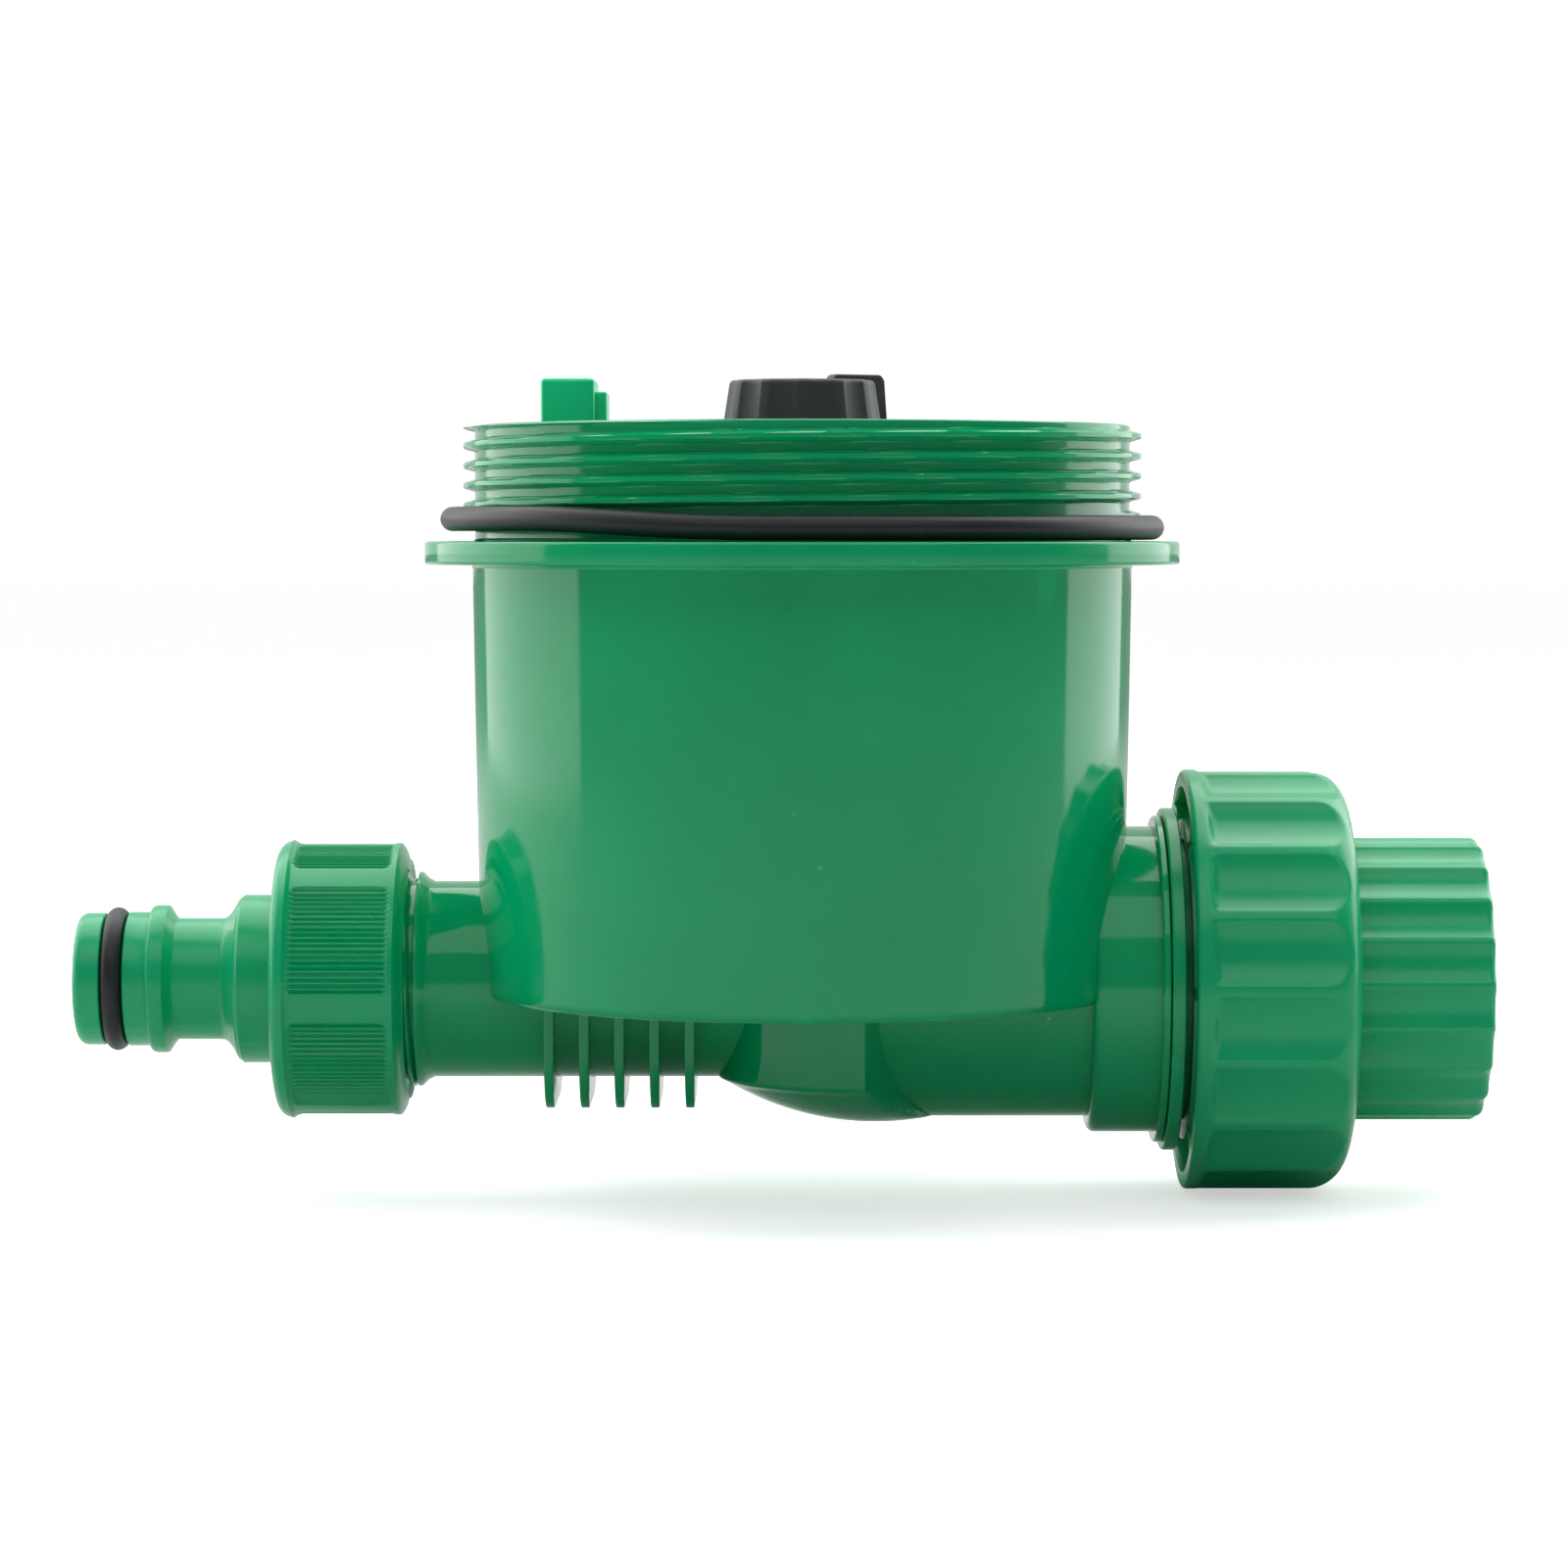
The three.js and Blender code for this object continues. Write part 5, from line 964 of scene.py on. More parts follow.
class TIMER_OT_tap_adaptor(bpy.types.Operator):
    """Build the fluted tap adaptor that screws into the union nut, threaded inside and out."""
    bl_idname = "timer.tap_adaptor"
    bl_label = "Tap adaptor"

    def execute(self, context):
        start, end = low_high("tap_adaptor", 0)
        grip = low_high("union_nut", 0)[1] + 0.3
        crest, relief, tap_bore = 16.55, 1.1, SPIGOT_BORE
        floor = low_high("filter_washer", 0)[0] - SEAT_GAP
        rows = [(start, WATER_BORE + 0.4), (start, crest - relief - 0.5), (start + 0.6, crest - relief)]
        outside = np.arange(start + 0.7, grip - 1.0, 0.19)
        rows += thread_rows(outside, crest - relief, UNION_PITCH, relief)
        rows += [(grip - 0.9, crest - relief), (grip, crest - relief)]
        rows += [(x, adaptor_radius(x, end)) for x in steps(grip, end - 1.1, 6)]
        rows += [(x, adaptor_radius(x, end)) for x in
                 [end - 1.1 + 1.1 * math.sin(a) for a in steps(0.2, 1.5, 6)]]
        rows += [(end, mm(fitting_sizes().adaptor_radius) - 1.85), (end, tap_bore + 1.0)]
        socket = np.arange(end - 0.7, floor + 1.4, -0.19)
        rows += thread_rows(socket, tap_bore + 0.85, HOSE_PITCH, 0.8, inward=True)
        rows += [(floor + 1.2, tap_bore + 0.5), (floor, tap_bore + 0.5), (floor, WATER_BORE + 0.3)]
        rows += [(floor - 0.3, WATER_BORE), (start + 0.4, WATER_BORE)]
        adaptor = grid_solid("tap_adaptor_body", loop(rows), 480, "x", sharp_deg=38)
        settle(adaptor, "tap_adaptor", "green", fitting_green(), "tap_adaptor")
        return {"FINISHED"}


# ---- hose connector ----
def skirt_radius(x, start, end):
    """Radius of the ribbed skirt: smooth ring, rounded grip panels of fine ribs, chamfer."""
    size = fitting_sizes()
    outer, panels, ribs = mm(size.skirt_radius), size.grip_panels, size.ribs_per_panel
    ring_end, grip_start, grip_end = start + 2.2, start + 2.5, end - 1.9
    share, recess, corner = 0.80, 0.48, 0.9
    half_arc = share * math.pi / panels * outer
    half_run, middle_x = (grip_end - grip_start) / 2, (grip_start + grip_end) / 2
    first = math.pi - math.radians(22.5)
    drop = 1.9 * max(0.0, x - (end - 1.0)) / 1.0
    raised = 0.38 * (1 - ease((x - ring_end + 0.5) / 0.5))

    def radius(angles):
        turn = (angles - first) * panels / TAU
        across = (turn - np.round(turn)) * TAU / panels * outer
        side = np.abs(across) - (half_arc - corner)
        along = abs(x - middle_x) - (half_run - corner)
        edge = np.hypot(np.maximum(side, 0), max(along, 0.0))
        inside = ease((corner + 0.12 - edge) / 0.24)
        wave = 0.5 + 0.5 * np.cos(across / (2 * half_arc) * TAU * ribs)
        grip = recess * inside * (1 - mm(size.rib_depth) / recess * wave)
        return outer + raised - grip - drop
    return radius


def nose_rows(start, socket):
    """The hose nose from its tip to the skirt: seal groove, latch collar, neck and shoulder."""
    body, bore, tip = 7.82, 4.3, 1.2
    land, collar, neck, shoulder = 7.94, 8.75, 7.2, 9.95
    ring_x = middle("nose_o_ring", 0) - AXIS_X
    groove, half = 5.85, 1.35
    rows = [(start + 0.25, bore), (start, bore + 0.25), (start, body - tip)]
    rows += fillet(start + tip, body - tip, tip, 180, 90, 7)
    rows += [(ring_x - half - 0.15, body), (ring_x - half, body - 0.15), (ring_x - half, groove)]
    rows += [(ring_x + half, groove), (ring_x + half, land - 0.15), (ring_x + half + 0.15, land)]
    collar_x = start + 8.6
    rows += [(collar_x - 0.1, land)]
    rows += fillet(collar_x + 0.75, collar - 0.75, 0.75, 180, 90, 6)
    rows += [(collar_x + 1.85, collar), (collar_x + 2.1, collar - 0.08), (collar_x + 2.75, neck + 0.45)]
    rows += fillet(collar_x + 3.3, neck + 0.5, 0.5, 250, 270, 2)
    rows += [(collar_x + 7.6, neck)]
    for t in steps(0.08, 1.0, 9):
        rows.append((collar_x + 8.4 + 2.1 * t, neck + 2.55 * (1 - math.cos(t * math.pi * 0.48))))
    rows += [(collar_x + 10.75, shoulder - 0.25), (collar_x + 11.0, shoulder)]
    rows += [(socket - 2.6, shoulder), (socket - 2.3, shoulder + 0.15)]
    return rows


class TIMER_OT_hose_connector(bpy.types.Operator):
    """Build the quick-fit hose connector with its ribbed skirt, and its nose seal ring."""
    bl_idname = "timer.hose_connector"
    bl_label = "Hose connector"

    def execute(self, context):
        start, end = low_high("hose_connector", 0)
        socket = low_high("hose_washer", 0)[0] - SEAT_GAP
        skirt, outer = socket - 2.3, mm(fitting_sizes().skirt_radius)
        crest, relief, bore = 13.1, 0.8, 4.3
        rows = nose_rows(start, socket)
        rows += [(skirt, outer - 2.2)]
        rows += fillet(skirt + 1.7, outer + 0.35 - 1.75, 1.7, 175, 100, 8)
        rows += [(x, skirt_radius(x, skirt, end)) for x in np.arange(skirt + 1.7, end - 0.35, 0.27)]
        rows += [(end - 0.3, outer - 1.75), (end, outer - 2.0), (end, crest + relief + 0.2)]
        turns = np.arange(end - 0.5, socket + 1.2, -0.2)
        rows += thread_rows(turns, crest + relief, HOSE_PITCH, relief, inward=True)
        rows += [(socket, crest), (socket, bore)]
        connector = grid_solid("hose_connector_body", loop(rows), 1080, "x", sharp_deg=36)
        settle(connector, "hose_connector", "green", fitting_green(), "hose_connector")
        cord = mm(fitting_sizes().nose_ring_cord)
        seal_ring("nose_seal_ring", "nose_o_ring", "hose_connector", cord, cord / 2 + INSIDE, "x",
                  160, 28, 0.02)
        return {"FINISHED"}


class TIMER_OT_flat_washers(bpy.types.Operator):
    """Build the union washer, the hose washer and the filter washer with its mesh."""
    bl_idname = "timer.flat_washers"
    bl_label = "Washers"

    def execute(self, context):
        for node, body, bore in (("union_washer", "union_washer", WATER_BORE + 1.05),
                                 ("hose_washer", "hose_washer", 6.35),
                                 ("filter_washer", "tap_adaptor", WATER_BORE - 1)):
            low, high = from_axis(node)
            outer, soft = (high[2] - low[2]) / 2 - 0.03, 0.25
            x0, x1 = low[0] + 0.02, high[0] - 0.02
            rows = [(x0, bore + soft), (x0, outer - soft), (x0 + soft, outer), (x1 - soft, outer)]
            rows += [(x1, outer - soft), (x1, bore + soft), (x1 - soft, bore), (x0 + soft, bore)]
            washer = turned_object(node + "_body", rows)
            if node == "filter_washer":
                self.add_mesh(washer, (x0 + x1) / 2, bore)
            settle(washer, body, "black_rubber", seal_black(), node)
        return {"FINISHED"}

    def add_mesh(self, washer, x, reach):
        """Fine crossed wires over the filter washer's opening."""
        wires, thick = 11, 0.22
        for i in range(wires):
            place = (i - (wires - 1) / 2) * 2 * reach / wires
            half = math.sqrt(max(1.0, (reach + 0.3) ** 2 - place * place))
            for flat in (True, False):
                low = (x - thick, place - thick, -half) if flat else (x - thick, -half, place - thick)
                high = (x + thick, place + thick, half) if flat else (x + thick, half, place + thick)
                join_to(washer, block("mesh wire", low, high))


# ---- control module ----
PANEL_Z = low_high("panel_label", 2)[0] - SEAT_GAP
PANEL_RADIUS = half_width("control_panel", 1)
SHAFT_RADIUS = 3.0
KNOB_BORE = 3.35
POINTER_DEG = 28
LABEL_RADIUS = half_width("panel_label", 1) - 0.05
BUTTON_AT, LIGHT_AT = spot("reset_button"), spot("status_light")
SCREWS_AT = [spot("module_screw_1"), spot("module_screw_2")]


def panel_bores(clear=0.3):
    """Cutters for the shaft, button and light holes of the panel and its label."""
    low, high = PANEL_Z - 6, PANEL_Z + 3
    holes = [((0, 0), SHAFT_RADIUS), (BUTTON_AT, 3.0), (LIGHT_AT, 1.6)]
    return [rod("bore", r + clear, low, high, "z", (x, y, 0), 48) for (x, y), r in holes]


def pull_tab():
    """The pull tab with its rounded edges, hollow grip recess and the lower rib behind it."""
    top = low_high("control_panel", 2)[1]
    x0, x1, half = -30.47, -24.23, 6.47
    edge = mm(module_sizes().tab_edge)
    tab = block("tab", (x0, -half, PANEL_Z - 1.5), (x1, half, top - 0.02), edge, 4)
    rib = block("tab rib", (x1 - 0.6, -4.45, PANEL_Z - 1.5), (x1 + 1.37, 4.45, top - 1.53), 0.3, 3)
    return join_to(tab, rib)


class TIMER_OT_control_panel(bpy.types.Operator):
    """Build the control module's panel, with its skirt, screw posts and pull tab, and its seal."""
    bl_idname = "timer.control_panel"
    bl_label = "Control panel"

    def execute(self, context):
        outer, roof = PANEL_RADIUS - INSIDE, PANEL_Z - 2.0
        foot = low_high("battery_tray", 2)[1] + SEAT_GAP
        seal_z, half = middle("panel_seal", 2), 0.85
        groove = outer - 1.45
        inner = outer - 2.4
        rows = [(foot, inner), (foot, outer - 0.2), (foot + 0.2, outer), (seal_z - half, outer)]
        rows += [(seal_z - half, groove), (seal_z + half, groove), (seal_z + half, outer)]
        rows += fillet(PANEL_Z - 0.8, outer - 0.8, 0.8, 90, 0, 5)
        rows += [(PANEL_Z, 3.7), (roof, 3.7), (roof, inner)]
        can = grid_solid("control_panel_body", loop(rows), 192, "z")
        join_to(can, pull_tab())
        for x, y in SCREWS_AT:
            post = rod("post", 3.0, foot, roof + 0.5, "z", (x, y, 0), 32)
            cut_from(post, rod("post bore", 1.2, foot - 1, roof - 1, "z", (x, y, 0), 24))
            join_to(can, post)
        cut_from(can, *panel_bores())
        settle(can, "control_module", "light_green", module_green(), "control_panel")
        seal_ring("panel_seal_ring", "panel_seal", "control_module", 1.48, 0.77, "z", 192, 14)
        return {"FINISHED"}


def number_mesh(words, size, x, y, z, turn):
    """A thin printed number, as a mesh lying flat on the dial."""
    curve = bpy.data.curves.new("number", "FONT")
    curve.body = words
    curve.size = size * MM
    curve.extrude = 0.03 * MM
    curve.align_x = "CENTER"
    curve.align_y = "CENTER"
    holder = bpy.data.objects.new("number", curve)
    bpy.context.scene.collection.objects.link(holder)
    mesh = bpy.data.meshes.new_from_object(holder)
    bpy.data.objects.remove(holder)
    bpy.data.curves.remove(curve)
    mesh.transform(Matrix.Translation(((x + AXIS_X) * MM, y * MM, z * MM)) @ Matrix.Rotation(turn, 4, "Z"))
    return mesh


def merged_mesh(name, meshes):
    """One object made of several loose meshes."""
    work = bmesh.new()
    for mesh in meshes:
        work.from_mesh(mesh)
        bpy.data.meshes.remove(mesh)
    whole = bpy.data.meshes.new(name)
    work.to_mesh(whole)
    work.free()
    obj = bpy.data.objects.new(name, whole)
    bpy.context.scene.collection.objects.link(obj)
    return obj


def mesh_of(obj):
    """An object's mesh, freed from the object."""
    mesh = obj.data
    bpy.data.objects.remove(obj)
    return mesh


def dial_prints(z):
    """White marks round the knob: long and short ticks, programme numbers and a thin ring."""
    marks = module_sizes().dial_marks
    meshes = []
    for i in range(marks):
        turn = math.radians(POINTER_DEG) + i * TAU / marks
        long = i % 3 == 0
        start, end, half = 12.2, 14.6 if long else 13.7, 0.32 if long else 0.2
        outline = []
        for r, side in ((start, -half), (end, -half), (end, half), (start, half)):
            outline.append((r * math.cos(turn) - side * math.sin(turn),
                            r * math.sin(turn) + side * math.cos(turn)))
        meshes.append(mesh_of(prism("tick", outline, z, z + 0.03)))
        r = 17.2
        meshes.append(number_mesh(str(i), 3.0, r * math.cos(turn), r * math.sin(turn), z, 0.0))
    for inner, outer in ((19.8, 20.1), (LABEL_RADIUS - 1.0, LABEL_RADIUS - 0.7)):
        rows = [(z, inner), (z + 0.03, inner), (z + 0.03, outer), (z, outer)]
        meshes.append(mesh_of(turned_object("printed ring", rows, "z", 160)))
    return meshes


class TIMER_OT_dial_label(bpy.types.Operator):
    """Build the printed dial label round the knob, and its white marks."""
    bl_idname = "timer.dial_label"
    bl_label = "Dial label"

    def execute(self, context):
        low, high = low_high("panel_label", 2)
        face = high - 0.04
        rows = [(low, 3.5), (low, LABEL_RADIUS), (face - 0.1, LABEL_RADIUS), (face, LABEL_RADIUS - 0.1)]
        rows += [(face, 3.5)]
        label = turned_object("dial_label", rows, "z", 192)
        slot = block("tab slot", (-30.8, -6.8, low - 1), (-22.5, 6.8, high + 1), 0.0)
        cut_from(label, slot, *panel_bores(0.32))
        settle(label, "control_module", "dial_label", dial_black(), "panel_label")
        marks = merged_mesh("dial_marks", dial_prints(face))
        settle(marks, "control_module", "dial_label", dial_white())
        return {"FINISHED"}


class TIMER_OT_mode_knob(bpy.types.Operator):
    """Build the fluted, tapered knob with its pointer fin, on its switch shaft."""
    bl_idname = "timer.mode_knob"
    bl_label = "Mode knob"

    def execute(self, context):
        size = module_sizes()
        low, high = low_high("mode_knob", 2)
        top = high - 0.8
        foot_r, top_r, count = mm(size.knob_foot) - 0.02, mm(size.knob_top), size.knob_flutes

        def skin(z, inset=0.0):
            base = foot_r + (top_r - foot_r) * (z - low) / (top - low)
            return lambda a: base - inset - flute(a, count, 0.42, 0.0, 0.25)

        rows = [(low, KNOB_BORE), (low, skin(low, 0.25)), (low + 0.25, skin(low))]
        rows += [(z, skin(z)) for z in steps(low + 1, top - 0.6, 12)]
        rows += [(top - 0.6 + 0.6 * math.sin(a), skin(top - 0.6, 0.6 - 0.6 * math.cos(a)))
                 for a in steps(0.25, 1.57, 5)]
        rows += [(top - 0.08, top_r * 0.82), (top - 0.22, top_r * 0.70), (top - 0.25, top_r * 0.3)]
        rows += [(top - 0.25, 0.4)]
        bore_top = low_high("switch_shaft", 2)[1] + 0.3
        rows += [(bore_top, 0.4), (bore_top, KNOB_BORE)]
        knob = grid_solid("mode_knob_body", loop(rows), 288, "z", sharp_deg=40)
        join_to(knob, pointer_fin(low, high))
        settle(knob, "mode_knob", "black_plastic", knob_black(), "mode_knob")
        shaft_low, shaft_high = low_high("switch_shaft", 2)
        shaft = rod("knob_shaft", SHAFT_RADIUS - INSIDE, shaft_low, shaft_high - INSIDE, "z", count=48)
        flat = block("shaft flat", (SHAFT_RADIUS - 1, -4, PANEL_Z + 2), (5, 4, shaft_high + 1))
        cut_from(shaft, flat)
        settle(shaft, "mode_knob", "bright_steel", plated_steel(), "switch_shaft")
        return {"FINISHED"}


def pointer_fin(low, high):
    """The pointer: a thin upright plate with rounded edges across one side of the knob."""
    outline = [(3.7, low + 1), (11.3, low + 0.05), (10.62, high - 0.7), (10.2, high - 0.1),
               (9.9, high - 0.02), (4.3, high - 0.02), (3.95, high - 0.1), (3.7, high - 0.5)]
    fin = prism("pointer", outline, -1.18, 1.18, "y", 0.3, 3)
    middle_x = AXIS_X * MM
    for vertex in fin.data.vertices:
        up = (vertex.co.z / MM - low) / (high - low)
        vertex.co.y *= 1.0 - 0.16 * up
    turn = Matrix.Translation((middle_x, 0, 0)) @ Matrix.Rotation(math.radians(POINTER_DEG), 4, "Z")
    fin.data.transform(turn @ Matrix.Translation((-middle_x, 0, 0)))
    return fin


class TIMER_OT_button_and_light(bpy.types.Operator):
    """Build the reset button and the status light."""
    bl_idname = "timer.button_and_light"
    bl_label = "Button and light"

    def execute(self, context):
        low, high = low_high("reset_button", 2)
        flange, radius = low + 0.9, 2.97
        rows = [(low, 0.3), (low, radius + 1), (flange, radius + 1), (flange, radius)]
        rows += fillet(high - 0.7, radius - 0.7, 0.68, 90, 0, 6)
        rows += [(high - 0.12, radius * 0.55), (high - 0.2, 0.3)]
        button = turned_object("reset_button_cap", rows, "z", 72, (*BUTTON_AT, 0))
        settle(button, "reset_button", "light_green", module_green(), "reset_button")
        low, high = low_high("status_light", 2)
        radius = 1.55
        rows = [(low, 0.2), (low, radius), *fillet(high - radius - 0.02, 0, radius, 90, 8, 9)]
        light = turned_object("status_light_lens", rows, "z", 48, (*LIGHT_AT, 0))
        settle(light, "control_module", "red_lens", lens_red(), "status_light")
        return {"FINISHED"}


# ---- inside of the control module ----
class TIMER_OT_battery_tray(bpy.types.Operator):
    """Build the battery tray under the module: a round plate with an open trough."""
    bl_idname = "timer.battery_tray"
    bl_label = "Battery tray"

    def execute(self, context):
        low, high = from_axis("battery_tray")
        plate_low, wall = high[2] - 1.5, 1.2
        outer = (high[1] - low[1]) / 2 - 0.02
        half, y0, y1 = 25.3, -0.25, 24.25
        tray = grid_solid("battery_tray_body", [
            (plate_low, 1.0), (plate_low, outer - 0.3), (plate_low + 0.3, outer),
            (high[2] - 0.3, outer), (high[2] - 0.02, outer - 0.3), (high[2] - 0.02, 1.0)], 160, "z")
        trough = block("trough", (-half, y0, low[2] + 0.02), (half, y1, high[2] - 0.1), 0.4)
        join_to(tray, trough)
        room = block("room", (-half + wall, y0 + wall, low[2] - 2), (half - wall, y1 - wall, plate_low))
        motor_x, motor_y = spot("motor")
        slot_x, slot_y = spot("plug_block")
        cutters = [
            room,
            rod("motor notch", 12.0, plate_low - 1, high[2] + 1, "z", (motor_x, motor_y, 0), 64),
            block("pin slot", (slot_x - 4, slot_y - 2, plate_low - 1), (slot_x + 4, slot_y + 2, high[2] + 1)),
        ]
        for x, y in SCREWS_AT:
            cutters.append(rod("screw hole", 1.5, plate_low - 1, high[2] + 1, "z", (x, y, 0), 24))
        cut_from(tray, *cutters)
        settle(tray, "control_module", "light_green", module_green(), "battery_tray")
        return {"FINISHED"}


class TIMER_OT_cells(bpy.types.Operator):
    """Build the two dry cells with their contacts and springs."""
    bl_idname = "timer.cells"
    bl_label = "Dry cells"

    def execute(self, context):
        for k in (1, 2):
            low, high = from_axis(f"battery_{k}")
            y, z = (low[1] + high[1]) / 2, (low[2] + high[2]) / 2
            radius, side = (high[2] - low[2]) / 2 - 0.03, 1 if k == 1 else -1
            nub_x = high[0] if side > 0 else low[0]
            base_x = low[0] if side > 0 else high[0]
            along = [(0.05, 1.0), (0.05, radius - 0.9), (0.2, radius - 0.6), (0.25, radius - 0.15)]
            along += [(0.5, radius), (43.0, radius), (43.4, radius - 0.2), (43.5, radius - 0.8)]
            along += [(43.65, radius - 1.0), (43.65, 1.95), (44.4, 1.85), (44.45, 1.0)]
            rows = [(base_x + side * x, r) for x, r in along]
            cell = turned_object(f"dry_cell_{k}", rows, "x", 96, (0, y, z))
            settle(cell, "control_module", "cell_jacket", cell_blue(), f"battery_{k}")
            cell.data.materials.append(plated_steel())
            for face in cell.data.polygons:
                x = face.center.x / MM - AXIS_X
                if abs(x - base_x) < 0.24 or abs(x - nub_x) < 0.9:
                    face.material_index = 1
            self.spring(k, y, z, side)
        return {"FINISHED"}

    def spring(self, k, y, z, side):
        """The coiled spring behind a cell, tapering towards it."""
        low, high = from_axis(f"battery_spring_{k}")
        thick, coils, around = 0.26, 3.0, 10
        base, tip = (low[0], high[0]) if side > 0 else (high[0], low[0])
        count = 110
        points, faces = [], []
        for i in range(count + 1):
            t = i / count
            a = TAU * coils * t
            r = 3.6 - 1.2 * t
            centre_x = base + side * thick + (tip - base - side * 2 * thick) * t
            for j in range(around):
                b = TAU * j / around
                reach = r + thick * math.cos(b)
                points.append((centre_x + thick * math.sin(b), y + reach * math.cos(a),
                               z + reach * math.sin(a)))
        for i in range(count):
            for j in range(around):
                m = (j + 1) % around
                a, b = i * around, (i + 1) * around
                faces.append((a + j, a + m, b + m, b + j))
        faces.append(tuple(range(around)))
        faces.append(tuple(reversed(range(count * around, (count + 1) * around))))
        coil = mesh_object(f"battery_spring_coil_{k}", points, faces, 80)
        settle(coil, "control_module", "bright_steel", plated_steel(), f"battery_spring_{k}")


# ---- drive works inside the cup ----
class TIMER_OT_drive_works(bpy.types.Operator):
    """Build the gear motor's can, which shows when the control module is lifted out."""
    bl_idname = "timer.drive_works"
    bl_label = "Drive works"

    def execute(self, context):
        low = low_high("motor", 2)[0]
        radius, length_up, clear = 7.72, 16.5, 0.3
        foot = low_high("gearbox_cover", 2)[1] + clear
        rows = [(low + 0.02, 0.9), (low + 0.02, 2.9), (foot, 2.95), (foot, radius - 0.6)]
        rows += fillet(foot + 0.6, radius - 0.6, 0.6, 180, 90, 4)
        top = foot + length_up
        rows += [(z, radius) for z in (foot + 3, top - 4.2)]
        rows += [(top - 4.1, radius - 0.12), (top - 3.9, radius - 0.12), (top - 3.8, radius)]
        rows += fillet(top - 0.8, radius - 0.8, 0.8, 90, 0, 5)
        rows += [(top, 2.4), (top - 0.02, 0.9)]
        can = grid_solid("motor_can", rows, 96, "z", (*spot("motor"), 0))
        settle(can, "housing", "bright_steel", plated_steel(), "motor")
        return {"FINISHED"}


CARRIED_FINISHES = {
    "valve_ball": turned_brass, "valve_stem": plated_steel,
    "seat_ring_inlet": seat_white, "seat_ring_outlet": seat_white,
    "stem_o_ring_1": seal_black, "stem_o_ring_2": seal_black,
    "output_gear": gear_white, "compound_gear_a": gear_white, "compound_gear_b": gear_white,
    "motor_pinion": turned_brass, "gear_axle_a": plated_steel, "gear_axle_b": plated_steel,
    "gearbox_base": works_grey, "gearbox_cover": works_grey,
    "gearbox_screw_1": plated_steel, "gearbox_screw_2": plated_steel,
    "gearbox_screw_3": plated_steel, "gearbox_screw_4": plated_steel,
    "motor_lead_1": wire_red, "motor_lead_2": wire_black, "plug_block": knob_black,
    "plug_pin_1": turned_brass, "plug_pin_2": turned_brass,
    "module_screw_1": plated_steel, "module_screw_2": plated_steel,
    "spring_contact_1": plated_steel, "spring_contact_2": plated_steel,
    "nub_contact_1": plated_steel, "nub_contact_2": plated_steel,
    "control_board": board_green, "rotary_switch": works_grey, "button_switch": works_grey,
}


class TIMER_OT_inner_finishes(bpy.types.Operator):
    """Give the CAD solids that are kept inside the timer their finishes."""
    bl_idname = "timer.inner_finishes"
    bl_label = "Inner finishes"

    def execute(self, context):
        for name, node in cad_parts.items():
            if node.hide_render:
                continue
            if name not in CARRIED_FINISHES:
                raise RuntimeError(f"{name} has neither a piece nor a finish")
            node.data.materials.clear()
            node.data.materials.append(CARRIED_FINISHES[name]())
        return {"FINISHED"}


# ---- stage ----
def floor_material():
    """A plain pale floor that looks white but throws little light back at the timer."""
    material = bpy.data.materials.new("pale floor")
    material.use_nodes = True
    nodes = material.node_tree
    principled = nodes.nodes["Principled BSDF"]
    principled.inputs["Roughness"].default_value = 0.65
    place = add_node(nodes, "ShaderNodeTexCoord")
    cloud = add_node(nodes, "ShaderNodeTexNoise", {"Scale": 6.0, "Detail": 2.0})
    tone = add_node(nodes, "ShaderNodeMix", data_type="RGBA")
    tone.inputs["A"].default_value = rgba(colours().floor, 0.985)
    tone.inputs["B"].default_value = rgba(colours().floor, 1.015)
    path = add_node(nodes, "ShaderNodeLightPath")
    dim = add_node(nodes, "ShaderNodeBsdfDiffuse", {"Color": (0.62, 0.62, 0.62, 1)})
    glow = add_node(nodes, "ShaderNodeEmission", {"Color": (1, 1, 1, 1), "Strength": 0.55})
    lit = add_node(nodes, "ShaderNodeAddShader")
    either = add_node(nodes, "ShaderNodeMixShader")
    wire_up(nodes, ((place, "Object"), (cloud, "Vector")), ((cloud, "Fac"), (tone, "Factor")),
            ((tone, "Result"), (principled, "Base Color")), ((principled, 0), (lit, 0)),
            ((glow, 0), (lit, 1)), ((path, "Is Camera Ray"), (either, 0)), ((dim, 0), (either, 1)),
            ((lit, 0), (either, 2)), ((either, 0), (nodes.nodes["Material Output"], 0)))
    return material


def soft_light(name, place, target, size, power):
    """A large area light aimed at a point, sizes and places in metres."""
    data = bpy.data.lights.new(name, "AREA")
    data.shape = "RECTANGLE"
    data.size, data.size_y = size
    data.energy = power
    lamp = bpy.data.objects.new(name, data)
    lamp.location = place
    lamp.rotation_euler = (Vector(target) - Vector(place)).to_track_quat("-Z", "Y").to_euler()
    bpy.context.scene.collection.objects.link(lamp)
    return lamp


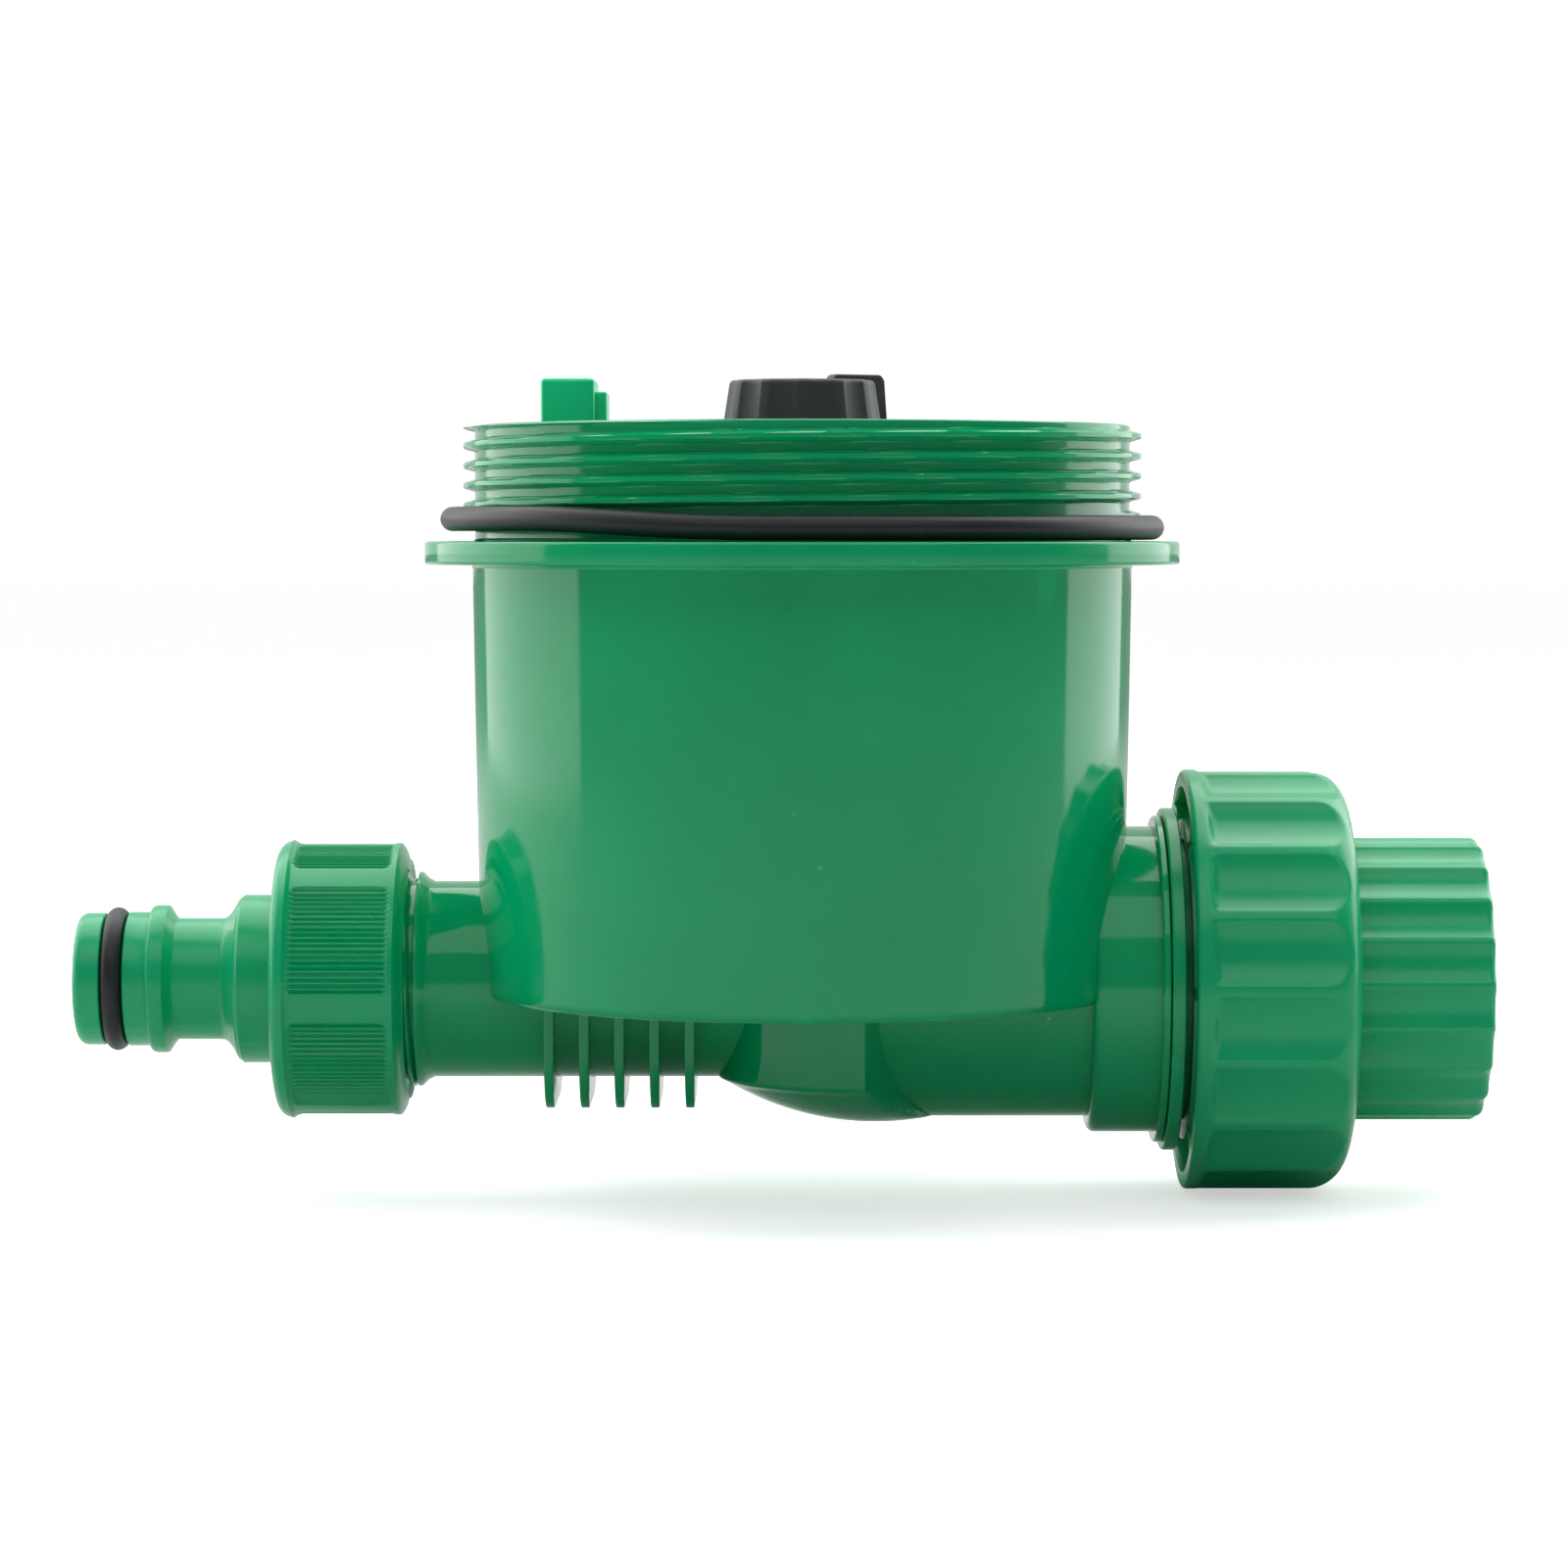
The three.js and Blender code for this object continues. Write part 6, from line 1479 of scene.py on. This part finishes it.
def white_surroundings():
    """White surroundings whose light comes from above and behind, with a dim room in front."""
    world = bpy.data.worlds.new("white surroundings")
    bpy.context.scene.world = world
    world.use_nodes = True
    nodes = world.node_tree
    nodes.nodes.clear()
    place = add_node(nodes, "ShaderNodeTexCoord")
    parts = add_node(nodes, "ShaderNodeSeparateXYZ")
    depth = add_node(nodes, "ShaderNodeMapRange",
                     {"From Min": -0.10, "From Max": 0.40, "To Min": 0.15, "To Max": 0.85})
    path = add_node(nodes, "ShaderNodeLightPath")
    seen = add_node(nodes, "ShaderNodeBackground", {"Color": (1, 1, 1, 1), "Strength": 1.0})
    lighting = add_node(nodes, "ShaderNodeBackground", {"Color": (0.97, 1.0, 1.0, 1)})
    either = add_node(nodes, "ShaderNodeMixShader")
    end = add_node(nodes, "ShaderNodeOutputWorld")
    wire_up(nodes, ((place, "Generated"), (parts, 0)), ((parts, "Y"), (depth, "Value")),
            ((depth, "Result"), (lighting, "Strength")),
            ((path, "Is Camera Ray"), (either, 0)), ((lighting, 0), (either, 1)),
            ((seen, 0), (either, 2)), ((either, 0), (end, 0)))


# Metres: the camera's place and aim, from the cup's axis and the water pipe's axis.
CAMERA_SIDE, CAMERA_AWAY, CAMERA_UP, AIM_UP = -0.00214, 0.566, 0.053, 0.0231
FLOOR_DROP = 0.0002
FLOOR_REACH = 6


class TIMER_OT_stage(bpy.types.Operator):
    """Build the pale floor, the soft lights and the camera."""
    bl_idname = "timer.stage"
    bl_label = "Stage"

    def execute(self, context):
        low = CAD_BOX[0]
        cx = AXIS_X * MM
        floor_z = low[2] - FLOOR_DROP
        mesh = bpy.data.meshes.new("floor")
        far = FLOOR_REACH
        corners = [(-far, -far), (far, -far), (far, far), (-far, far)]
        mesh.from_pydata([(x, y, floor_z) for x, y in corners], [], [(0, 1, 2, 3)])
        floor = bpy.data.objects.new("floor", mesh)
        context.scene.collection.objects.link(floor)
        floor.data.materials.append(floor_material())
        white_surroundings()
        aim = (cx, 0, 0.02)
        soft_light("left panel", (cx - 0.60, 0.36, 0.18), (cx, 0.34, 0.10), (0.92, 0.80), 3.4)
        soft_light("right panel", (cx + 0.60, 0.52, 0.18), (cx, 0.50, 0.10), (0.78, 0.80), 3.2)
        soft_light("top panel", (cx, 0.30, 0.78), aim, (1.3, 0.9), 7.0)
        soft_light("high front panel", (cx, -0.62, 0.80), aim, (1.5, 0.6), 2.5)
        data = bpy.data.cameras.new("view")
        data.lens, data.sensor_width = 110, 36
        data.clip_start, data.clip_end = 0.01, 20
        camera = bpy.data.objects.new("view", data)
        camera.location = (cx + CAMERA_SIDE, -CAMERA_AWAY, CAMERA_UP)
        look = Vector((cx + CAMERA_SIDE, 0, AIM_UP)) - camera.location
        camera.rotation_euler = look.to_track_quat("-Z", "Y").to_euler()
        context.scene.collection.objects.link(camera)
        context.scene.camera = camera
        context.scene.view_settings.view_transform = "Standard"
        context.scene.view_settings.look = "None"
        return {"FINISHED"}


# ---- add-on ----
PIECE_OPERATORS = (
    TIMER_OT_housing, TIMER_OT_lid_ring, TIMER_OT_inlet_nipple, TIMER_OT_union_nut,
    TIMER_OT_tap_adaptor, TIMER_OT_hose_connector, TIMER_OT_flat_washers,
    TIMER_OT_control_panel, TIMER_OT_dial_label, TIMER_OT_mode_knob,
    TIMER_OT_button_and_light, TIMER_OT_battery_tray, TIMER_OT_cells, TIMER_OT_drive_works,
    TIMER_OT_inner_finishes, TIMER_OT_stage,
)
SIZE_GROUPS = {
    "timer_housing": TimerHousingSizes, "timer_fittings": TimerFittingSizes,
    "timer_module": TimerModuleSizes, "timer_colours": TimerColours,
}


class TIMER_PT_pieces(bpy.types.Panel):
    """Lists the timer's pieces in the sidebar."""
    bl_idname = "TIMER_PT_pieces"
    bl_label = "Drip irrigation timer"
    bl_space_type = "VIEW_3D"
    bl_region_type = "UI"
    bl_category = "Timer"

    def draw(self, context):
        for group in SIZE_GROUPS:
            box = self.layout.box()
            held = getattr(context.scene, group)
            for key in held.__annotations__:
                box.prop(held, key)
        for operator in PIECE_OPERATORS:
            self.layout.operator(operator.bl_idname)


def register():
    for group, kind in SIZE_GROUPS.items():
        bpy.utils.register_class(kind)
        setattr(bpy.types.Scene, group, PointerProperty(type=kind))
    for kind in (*PIECE_OPERATORS, TIMER_PT_pieces):
        bpy.utils.register_class(kind)


def unregister():
    for kind in reversed((*PIECE_OPERATORS, TIMER_PT_pieces)):
        bpy.utils.unregister_class(kind)
    for group, kind in SIZE_GROUPS.items():
        delattr(bpy.types.Scene, group)
        bpy.utils.unregister_class(kind)


def main():
    """Register the add-on, then build every piece and the stage."""
    register()
    for operator in PIECE_OPERATORS:
        area, name = operator.bl_idname.split(".")
        getattr(getattr(bpy.ops, area), name)()


if __name__ == "__main__":
    main()
